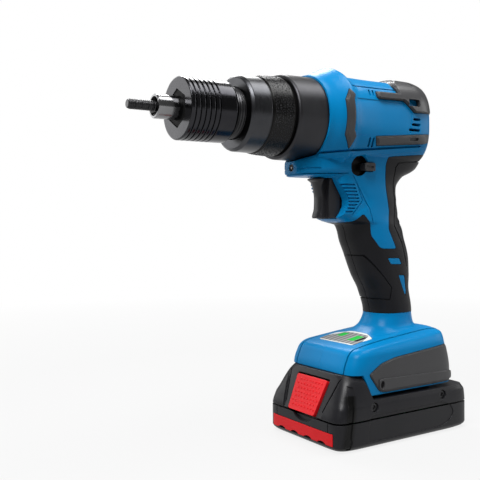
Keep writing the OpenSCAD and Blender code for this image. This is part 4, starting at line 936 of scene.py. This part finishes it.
def makeScrews(name, body, places, node):
    maker = Maker(name, **screwHead)
    head = maker.node("GeometryNodeMeshCone", Vertices=28, Radius_Top=maker["Radius"] * maker["Taper"],
                      Radius_Bottom=maker["Radius"], Depth=maker["Height"])
    key = maker.node("GeometryNodeMeshCylinder", Vertices=6, Radius=maker["Socket"], Depth=maker["Deep"] * 2)
    key = maker.node("GeometryNodeTransform", Geometry=key, Translation=maker.vector(z=maker["Height"]))
    head = maker.node("GeometryNodeMeshBoolean", {"operation": "DIFFERENCE"}, i0=head, i1=key)
    y = maker.split(maker.node("GeometryNodeInputPosition"))[1]
    lean = maker.vector(x=y.maths("SIGN") * (-math.pi / 2))
    made = maker.node("GeometryNodeInstanceOnPoints", Points=maker["Geometry"], Instance=head, Rotation=lean)
    screws = maker.run(made, looks["black_steel"], places)
    dress(screws, name, body, "black_steel", looks["black_steel"], node)


housingScrews = [(x, seat + screwLift, z) for x, z, seat in housing["screws"]]
makeScrews("housingScrews", "tool", housingScrews, "housing_screws")

# Controls; the trigger's front is (share of its height, reach)
triggerKey = {"low": 145.4, "tall": 26, "middle": -29, "behind": 7, "half": 9.3, "square": 2.4, "rear": -22,
              "front": [[0, 22.2], [0.03, 22.6], [0.25, 21], [0.5, 20.7], [0.75, 21.8], [0.92, 24],
                        [0.98, 26.6], [1, 26.4]],
              "span": (130, 190), "band": (-42.7, -38.7), "bandFloor": 4.6, "bandEase": 0.5,
              "tail": -31, "tailFloor": 7.4, "stem": (-23, -6, 3), "stemZ": 158}
selectorKey = {"outline": [(-20.5, 176.0), (-11.4, 176.0), (-11.4, 181.4), (-20.5, 181.4)], "ease": 1.4,
               "half": 22.5, "thumbSlot": (-19, -13.2), "slotHeight": (178, 179.3), "slotFloor": 21.9}
workLamp = [(-63.5, 0), (-63.5, 0.9), (-62.6, 1.1), (-62.6, 1.9), (-63.6, 2.1), (-63.2, 2.4), (-59.5, 2.4),
            (-59.5, 0)]


def makeControls():
    black = looks["black_plastic"]
    key = triggerKey
    trigger = skin([
        levelRing(key["low"] + key["tall"] * share, key["middle"], reach - key["behind"], key["half"],
                  key["square"], 0, 96)
        for share, reach in eased(key["front"], 50)
    ])
    carve(trigger, block(key["rear"], wide, -wide, wide, 0, 2 * farOff))
    bottom, top = key["span"]
    front, back = key["band"]
    for side in sides:
        band = rounded([(front, bottom), (back, bottom), (back, top), (front, top)], key["bandEase"])
        carve(trigger, prism(band, *outside(side, key["bandFloor"])))
        carve(trigger, block(key["tail"], 0, *outside(side, key["tailFloor"]), bottom, top))
    unite(trigger, rod(*key["stem"], 48, key["stemZ"]))
    dress(trigger, "triggerKey", "trigger", "black_plastic", black, "trigger")
    selector = prism(rounded(selectorKey["outline"], selectorKey["ease"]), -selectorKey["half"],
                     selectorKey["half"])
    for side in sides:
        carve(selector, block(*selectorKey["thumbSlot"], *outside(side, selectorKey["slotFloor"]),
                              *selectorKey["slotHeight"]))
    dress(selector, "directionSelector", "selector", "black_plastic", black, "direction_selector")
    dress(turned(workLamp, 64, hollows["lampZ"]), "workLamp", "tool", "lens", looks["lens"], "work_light")
    print("controls made")


makeControls()

# Nose, turned about the spindle; profiles of (x, radius)
nose = {
    "mandrel": [(-177.3, 0), (-177.3, 2.1), (-176.9, 2.5), (-176.1, 2.6), (-161, 2.6), (-160.7, 3),
                (-160.3, 2.7), (-158.3, 2.7), (-157.9, 3), (-114, 3), (-114, 0)],
    "anvil": [(-156.5, 3.1), (-160.7, 5.6), (-160.7, 6.5), (-160.5, 6.85), (-160.1, 7), (-138, 7),
              (-138, 10.95), (-128, 10.95), (-128, 3.1)],
    "stem": [(-140.4, 11), (-140.4, 15), (-139.8, 15.1), (-76.6, 15.1), (-76.6, 16), (-72.5, 16),
             (-72.5, 21.95), (-68.5, 21.95), (-68.5, 11)],
    "ring": [(-108, 16.1), (-108, 21.4), (-107.6, 22), (-106.6, 23), (-106, 23.2), (-94.6, 23.5),
             (-94.2, 23.3), (-94, 23.1), (-93.4, 23.1), (-93.1, 23.7), (-92.8, 24), (-79.4, 24.9),
             (-78.8, 24.95), (-78.3, 24.7), (-78.1, 24.4), (-78.1, 16.1)],
    "shell": [(-76.5, 16.05), (-76.5, 25.4), (-76.3, 26), (-75.7, 26.6), (-74.8, 26.85), (-54, 27.2),
              (-54, 25), (-46.15, 25), (-46.15, 22), (-72.5, 22), (-72.5, 16.05)],
}
# grooves of (step along, depth) repeat at the pitch
noseSleeve = {
    "r": 18.5, "grooves": 6, "start": -143.9, "pitch": 3.2,
    "groove": ((0.2, 0), (0.4, 0.1), (0.7, 0.8), (0.9, 0.9), (1.1, 0.8), (1.4, 0.1), (1.6, 0)),
    "front": [(-145.9, 10.1), (-145.9, 17.7), (-145.7, 18.2), (-145.2, 18.5)],
    "rear": [(-116, 18.5), (-115, 18), (-114.4, 17.5), (-114.4, 16.05), (-140.4, 16.05), (-140.4, 10.1)],
}
lockNut = {
    "hexR": 11.547, "hexRoom": 1.005, "room": (-150, -139), "along": (-145.5, -140.5),
    "bevel": [(-145.5, 0), (-145.5, 10.6), (-144.7, 11.6), (-140.4, 11.6), (-140.4, 0)],
    "bore": (-150, -130, 7.05),
}
stippleBand = {"Rows": 11, "Columns": 150, "Start": -0.0924, "End": -0.0794, "StartRadius": 0.02395,
               "EndRadius": 0.02482, "Dot": 0.00042, "Axis": axisZ * mm, "Seed": 7}
stemThread = {"Turns": 36.0, "Radius": 0.0151, "Crest": 0.0008, "Start": -0.1385, "Length": 0.0612,
              "Axis": axisZ * mm}
mandrelThread = {"Turns": 15.0, "Radius": 0.00262, "Crest": 0.00036, "Start": -0.1762, "Length": 0.015,
                 "Axis": axisZ * mm}


def thread(name, sizes, steps, look):
    # helix of a four-sided section along the spindle
    maker = Maker(name, **sizes)
    path = maker.node("GeometryNodeCurveSpiral", Resolution=steps, Rotations=maker["Turns"],
                      Start_Radius=maker["Radius"], End_Radius=maker["Radius"], Height=maker["Length"])
    section = maker.node("GeometryNodeCurvePrimitiveCircle", Resolution=4, Radius=maker["Crest"])
    ridge = maker.node("GeometryNodeCurveToMesh", Curve=path, Profile_Curve=section, Fill_Caps=True)
    laid = maker.node("GeometryNodeTransform", Geometry=ridge, Rotation=(0, math.pi / 2, 0),
                      Translation=maker.vector(maker["Start"], 0.0, maker["Axis"]))
    return maker.run(laid, look)


def stipple():
    # rows of small grains, each shifted and scaled by chance
    maker = Maker("stippleBand", **stippleBand)
    index = maker.node("GeometryNodeInputIndex")
    row = (index / maker["Columns"]).maths("FLOOR")
    column = index - row * maker["Columns"]
    share = (row + maker.chance(0.1, 0.9, 1)) / maker["Rows"]
    angle = (column + maker.chance(0.1, 0.9, 2)) * (2 * math.pi) / maker["Columns"]
    radius = maker["StartRadius"] + (maker["EndRadius"] - maker["StartRadius"]) * share
    along = maker["Start"] + (maker["End"] - maker["Start"]) * share
    spot = maker.vector(along, radius * angle.maths("COSINE"), maker["Axis"] + radius * angle.maths("SINE"))
    points = maker.node("GeometryNodePoints", Count=maker["Rows"] * maker["Columns"], Position=spot)
    dot = maker.node("GeometryNodeMeshIcoSphere", Radius=maker["Dot"], Subdivisions=1)
    made = maker.node("GeometryNodeInstanceOnPoints", Points=points, Instance=dot,
                      Scale=maker.chance(0.6, 1.1, 3))
    return maker.run(made, noseLooks["shell"])


def hexRod(radius, x0, x1):
    turns = [math.radians(60 * k) for k in range(6)]
    corners = [(radius * math.sin(a), axisZ + radius * math.cos(a)) for a in turns]
    return prism(corners, x0, x1, "x")


def sleeveProfile():
    r = noseSleeve["r"]
    grooves = []
    for i in range(noseSleeve["grooves"]):
        x = noseSleeve["start"] + noseSleeve["pitch"] * i
        grooves += [(x + step, r - deep) for step, deep in noseSleeve["groove"]]
    return noseSleeve["front"] + grooves + noseSleeve["rear"]


def makeNose():
    dark = looks["black_steel"]
    dress(turned(nose["mandrel"], 64), "pullMandrel", "spindle", "bright_steel", dark, "pull_mandrel")
    dress(thread("mandrelThread", mandrelThread, 24, dark), "mandrelThread", "spindle", "bright_steel", dark)
    dress(turned(nose["anvil"], 96), "anvilTube", "tool", "black_steel", noseLooks["anvil"], "anvil")
    sleeve = turned(sleeveProfile(), 192)
    carve(sleeve, hexRod(lockNut["hexR"] * lockNut["hexRoom"], *lockNut["room"]))
    dress(sleeve, "noseSleeve", "tool", "black_steel", noseLooks["sleeve"], "nose_sleeve")
    nut = hexRod(lockNut["hexR"], *lockNut["along"])
    common(nut, turned(lockNut["bevel"], 96))
    carve(nut, rod(*lockNut["bore"], 96))
    dress(nut, "anvilLockNut", "tool", "black_steel", looks["seal_rubber"], "anvil_lock_nut")
    dress(turned(nose["stem"], 128), "threadedStem", "tool", "bright_steel", dark, "threaded_stem")
    dress(thread("stemThread", stemThread, 72, dark), "stemThread", "tool", "bright_steel", dark)
    ring = turned(nose["ring"], 192)
    dress(ring, "strokeRing", "stroke_ring", "black_steel", noseLooks["collar"], "stroke_ring")
    dress(stipple(), "stippleBand", "stroke_ring", "black_steel", noseLooks["shell"])
    shell = turned(nose["shell"], 192)
    dress(shell, "frontHousing", "tool", "black_steel", noseLooks["shell"], "front_housing")
    print("nose made")


makeNose()

# Battery; on its slope local x runs up and local z outwards
pack = {
    "front": -57.1, "rear": 61.9, "half": 37.8, "split": 17.8, "splitGap": 0.08,
    "slopeTop": (-44.3, 45.2), "slopeFoot": (-57.1, 17.8),
    "hoodLine": [(-100, -10), (-100, 45.2), (-33.3, 45.2), (-26.8, 29.7), (100, 29.7), (100, -10)],
    "slopeFlat": [(3, -29), (3, 29), (-31.04, 19.2), (-31.04, -19.2)], "cutOut": 12,
    "rails": ((-24, 40, -20, 20, 28.7, 42), (-24, 40, -24, 24, 38, 42)),
    "slots": (-13.5, -4.5, 4.5, 13.5), "slotHalf": 1.5, "slotAlong": (5, 41), "slotTall": (31.1, 43),
    "sidePanel": [(-33, 4), (33, 4), (42, 7), (46, 12.5), (42, 18), (33, 21), (-31, 21)],
    "panelEase": 3.0, "panelDeep": 0.5,
    "screws": (-26.8, 35.3), "screwZ": 25.2, "screwY": 34.8, "screwSeat": 3.05,
    "notch": (-1.5, 18.6, 10.5, 0.5), "notchAlong": (-75, -55.2),
}
packMarks = {
    "cornerLine": [(-48.8, 3), (-48.2, 12), (-46.8, 21), (-45.2, 30), (-43, 38)], "cornerWidth": 3.6,
    "cornerFoot": (-49, 6.5, 3.0), "cornerDeep": 0.6,
    "slopeLine": ((2, 26.5), (-25, 19.5)), "slopeWidth": 1.1, "slopeDeep": 1.0,
    "post": ((27, 11.6), (27, 17.8)), "postWidth": 0.7, "postDeep": 0.7, "postAlong": (-70, -50),
}
slopeTurn = math.atan2(pack["slopeTop"][1] - pack["slopeFoot"][1], pack["slopeTop"][0] - pack["slopeFoot"][0])
releaseButton = {"top": -5.2, "foot": -29.24, "topHalf": 15.5, "footHalf": 13.5, "ease": 1.6, "low": -3.6,
                 "high": 1.2, "gap": 1.2, "roomFloor": -6.9}
buttonDots = {"Rows": 7, "Columns": 8, "PitchX": 0.0029, "PitchY": 0.0031, "Start": -0.0083,
              "Height": 0.00115, "Dot": 0.0008, "Turn": -slopeTurn, "TopX": pack["slopeTop"][0] * mm,
              "TopZ": pack["slopeTop"][1] * mm}
batteryStrip = {"half": 31.4, "low": 3.8, "high": 11.4, "along": (-90, -45.1), "gap": 0.1, "proud": 0.3,
                "deep": 1.35, "bedDeep": 1.4, "scallops": (-21, -7, 7, 21), "scallop": (2.6, 4.6, 0.565),
                "scallopAlong": (-90, -40)}


def packForm(d=0.0, low=0.0, high=999.0, around=160, along=40, slack=1e-6):
    # rows of z, front, rear, half width, squareness
    f, r, h = pack["front"], pack["rear"], pack["half"]
    rows = [
        [0, f + 4, r - 3, h - 3.4, 11], [1.2, f + 1.6, r - 1, h - 1.4, 12], [3.6, f, r, h, 13],
        [17.8, f, r, h, 13], [25.7, f + 2.43, r - 0.3, h - 0.6, 13], [29.7, f + 4.22, r - 2, h - 1.6, 11],
        [41.2, f + 10.24, r - 4, h - 4, 8], [45.2, f + 12.8, r - 5, h - 6.2, 7],
    ]
    rows = [q for q in eased(rows, along) if low - slack <= q[0] <= high + slack]
    return skin([levelRing(q[0], (q[1] + q[2]) / 2, (q[2] - q[1]) / 2 + d, q[3] + d, q[4], 0, around)
                 for q in rows])


def onSlope(piece):
    c, s = math.cos(slopeTurn), math.sin(slopeTurn)
    x, z = pack["slopeTop"]
    piece.data.transform(Matrix(((c, 0, -s, x * mm), (0, 1, 0, 0), (s, 0, c, z * mm), (0, 0, 0, 1))))
    return piece


def buttonBlock(grow, low, high):
    key = releaseButton
    a, b = key["topHalf"] + grow, key["footHalf"] + grow
    top, foot = key["top"] + grow, key["foot"] - grow
    return onSlope(prism(rounded([(top, -a), (top, a), (foot, b), (foot, -b)], key["ease"]), low, high, "z"))


def packLines():
    # corner streaks, lines beside the button and short posts over the strip
    marks = packMarks
    lines = unite(stroke(marks["cornerLine"], marks["cornerWidth"]), prism(disc(*marks["cornerFoot"])))
    carve(lines, packForm(-marks["cornerDeep"]))
    for side in sides:
        slope = [(x, side * y) for x, y in marks["slopeLine"]]
        unite(lines, onSlope(stroke(slope, marks["slopeWidth"], "z", -marks["slopeDeep"], pack["cutOut"])))
        post = stroke([(side * y, z) for y, z in marks["post"]], marks["postWidth"], "x", *marks["postAlong"])
        unite(lines, carve(post, packForm(-marks["postDeep"])))
    return lines


def dots():
    # rows of raised dots on the release button, every other row half a pitch along
    maker = Maker("buttonDots", **buttonDots)
    index = maker.node("GeometryNodeInputIndex")
    row = (index / maker["Columns"]).maths("FLOOR")
    column = index - row * maker["Columns"]
    y = (column - (maker["Columns"] - 1) / 2 + row.maths("MODULO", 2) * 0.5 - 0.25) * maker["PitchY"]
    spot = maker.vector(maker["Start"] - row * maker["PitchX"], y, maker["Height"])
    points = maker.node("GeometryNodePoints", Count=maker["Rows"] * maker["Columns"], Position=spot)
    dot = maker.node("GeometryNodeMeshUVSphere", Segments=10, Rings=6, Radius=maker["Dot"])
    dot = maker.node("GeometryNodeTransform", Geometry=dot, Scale=(1, 1, 0.5))
    made = maker.node("GeometryNodeInstanceOnPoints", Points=points, Instance=dot)
    laid = maker.node("GeometryNodeTransform", Geometry=made, Rotation=maker.vector(y=maker["Turn"]),
                      Translation=maker.vector(maker["TopX"], 0.0, maker["TopZ"]))
    return maker.run(laid, looks["red_plastic"])


def stripBlock(grow=0.0):
    half = batteryStrip["half"] + grow
    return block(*batteryStrip["along"], -half, half, batteryStrip["low"] - grow, batteryStrip["high"] + grow)


def makeCases():
    look = looks["battery_plastic"]
    split, gap = pack["split"], pack["splitGap"]
    lower = packForm(0, 0, split - gap)
    upper = packForm(0, split + gap)
    common(upper, prism(pack["hoodLine"]))
    carve(upper, onSlope(prism(pack["slopeFlat"], 0, pack["cutOut"], "z")))
    for rail in pack["rails"]:
        unite(upper, block(*rail))
    for y in pack["slots"]:
        carve(upper, block(*pack["slotAlong"], y - pack["slotHalf"], y + pack["slotHalf"], *pack["slotTall"]))
    for side in sides:
        for case in (lower, upper):
            sidePanel = rounded(pack["sidePanel"], pack["panelEase"])
            carve(case, prism(sidePanel, *outside(side, pack["half"] - pack["panelDeep"])))
        for x in pack["screws"]:
            carve(upper, prism(disc(x, pack["screwZ"], pack["screwSeat"]), *outside(side, pack["screwY"])))
    for case in (lower, upper):
        carve(case, packLines())
        carve(case, buttonBlock(releaseButton["gap"], releaseButton["roomFloor"], pack["cutOut"]))
    carve(lower, carve(stripBlock(batteryStrip["gap"]), packForm(-batteryStrip["bedDeep"], 0, split)))
    notch = prism(disc(*pack["notch"]), *pack["notchAlong"], "x")
    carve(notch, block(-2 * wide, 0, -wide, wide, split - gap, wide))
    carve(lower, notch)
    dress(lower, "batteryLower", "battery", "battery_plastic", look, "battery_lower_case")
    dress(upper, "batteryUpper", "battery", "battery_plastic", look, "battery_upper_case")


def makeBattery():
    makeCases()
    red = looks["red_plastic"]
    button = buttonBlock(0, releaseButton["low"], releaseButton["high"])
    dress(button, "releaseButton", "release", "red_plastic", red, "release_button")
    dress(dots(), "buttonDots", "release", "red_plastic", red)
    band = common(stripBlock(), packForm(batteryStrip["proud"], 0, pack["split"]))
    carve(band, packForm(-batteryStrip["deep"], 0, pack["split"]))
    for y in batteryStrip["scallops"]:
        carve(band, prism(disc(y, *batteryStrip["scallop"]), *batteryStrip["scallopAlong"], "x"))
    dress(band, "batteryStrip", "battery", "red_plastic", red, "battery_strip")
    screwY = pack["screwY"] + screwLift
    screws = [(x, side * screwY, pack["screwZ"]) for x in pack["screws"] for side in sides]
    makeScrews("batteryScrews", "battery", screws, "battery_screws")
    print("battery made")


makeBattery()

# Stage, light and camera
studio = {"floorReach": 8, "floorZ": -0.0005, "floorShare": 0.84, "clearFrom": 0.35, "clearOver": 0.6,
          "floorColour": 0.35, "ambient": 0.12, "gloss": 0.18}
softBoxes = {
    "keyBox": {"at": (-0.5, -0.3, 0.9), "aim": (-0.03, 0, 0.15), "size": (0.5, 0.45), "watts": 13},
    "topBox": {"at": (0.35, -0.15, 0.95), "aim": (0, 0, 0.15), "size": (0.5, 0.4), "watts": 5},
    "sideBox": {"at": (0.95, -0.5, 0.45), "aim": (0, 0, 0.13), "size": (0.6, 0.6), "watts": 3.2},
    "faceBox": {"at": (-0.5, 0.9, 0.42), "aim": (-0.1, 0, 0.15), "size": (0.6, 0.6), "watts": 2.6},
    "rimBox": {"at": (0.22, 0.75, 0.95), "aim": (0, 0, 0.15), "size": (0.6, 0.4), "watts": 9},
}
photoView = {"lens": 53.1, "sensor": 36, "clip": 0.01, "at": (-0.33744, -0.36747, 0.14034),
             "aim": (-0.10325, 0, 0.13212), "roll": -0.49}


def makeFloor():
    reach, z = studio["floorReach"], studio["floorZ"]
    mesh = bpy.data.meshes.new("floor")
    corners = [(-reach, -reach, z), (reach, -reach, z), (reach, reach, z), (-reach, reach, z)]
    mesh.from_pydata(corners, [], [(0, 1, 2, 3)])
    floor = bpy.data.objects.new("floor", mesh)
    scene.collection.objects.link(floor)
    # white to the camera and in reflections, with the object's shadow kept near it
    look = Look("paleFloor")
    seen = look.node("ShaderNodeLightPath", outlet="Is Camera Ray")
    seen = seen.maths("MAXIMUM", look.node("ShaderNodeLightPath", outlet="Is Glossy Ray"))
    far = look.node("ShaderNodeVectorMath", {"operation": "LENGTH"}, outlet="Value", i0=look.place())
    far = ((far - studio["clearFrom"]) / studio["clearOver"]).clamped()
    share = studio["floorShare"] + far * (1 - studio["floorShare"])
    diffuse = look.node("ShaderNodeBsdfDiffuse", Color=grey(studio["floorColour"]))
    white = look.node("ShaderNodeEmission", Color=grey(1), Strength=1.0)
    mixed = look.node("ShaderNodeMixShader", i0=seen * share, i1=diffuse, i2=white)
    look.tree.links.new(mixed.socket, look.out.inputs["Surface"])
    mesh.materials.append(look.material)


def makeWorld():
    world = bpy.data.worlds.new("studio")
    scene.world = world
    world.use_nodes = True
    sky = Tree(world.node_tree)
    sky.tree.nodes.clear()
    out = sky.tree.nodes.new("ShaderNodeOutputWorld")
    shine = sky.node("ShaderNodeLightPath", outlet="Is Camera Ray")
    shine = shine.maths("MAXIMUM", sky.node("ShaderNodeLightPath", outlet="Is Transmission Ray"))
    mirrored = sky.node("ShaderNodeLightPath", outlet="Is Glossy Ray") * studio["gloss"]
    level = shine.maths("MAXIMUM", mirrored).maths("MAXIMUM", studio["ambient"])
    back = sky.node("ShaderNodeBackground", Color=grey(1), Strength=level)
    sky.tree.links.new(back.socket, out.inputs["Surface"])


def softBox(name, at, aim, size, watts):
    data = bpy.data.lights.new(name, "AREA")
    data.shape = "RECTANGLE"
    data.size, data.size_y = size
    data.energy = watts
    lamp = bpy.data.objects.new(name, data)
    lamp.location = at
    lamp.rotation_euler = (Vector(aim) - Vector(at)).to_track_quat("-Z", "Y").to_euler()
    scene.collection.objects.link(lamp)


def makeCamera():
    data = bpy.data.cameras.new("camera")
    data.lens = photoView["lens"]
    data.sensor_width = photoView["sensor"]
    data.clip_start = photoView["clip"]
    cam = bpy.data.objects.new("camera", data)
    scene.collection.objects.link(cam)
    at = Vector(photoView["at"])
    ahead = (Vector(photoView["aim"]) - at).normalized()
    right = ahead.cross(Vector((0, 0, 1))).normalized()
    up = right.cross(ahead)
    roll = math.radians(photoView["roll"])
    across = right * math.cos(roll) + up * math.sin(roll)
    above = up * math.cos(roll) - right * math.sin(roll)
    cam.matrix_world = Matrix((
        (across.x, above.x, -ahead.x, at.x), (across.y, above.y, -ahead.y, at.y),
        (across.z, above.z, -ahead.z, at.z), (0, 0, 0, 1)))
    scene.camera = cam


makeFloor()
makeWorld()
for boxName, box in softBoxes.items():
    softBox(boxName, **box)
makeCamera()
print("stage, light and camera made")
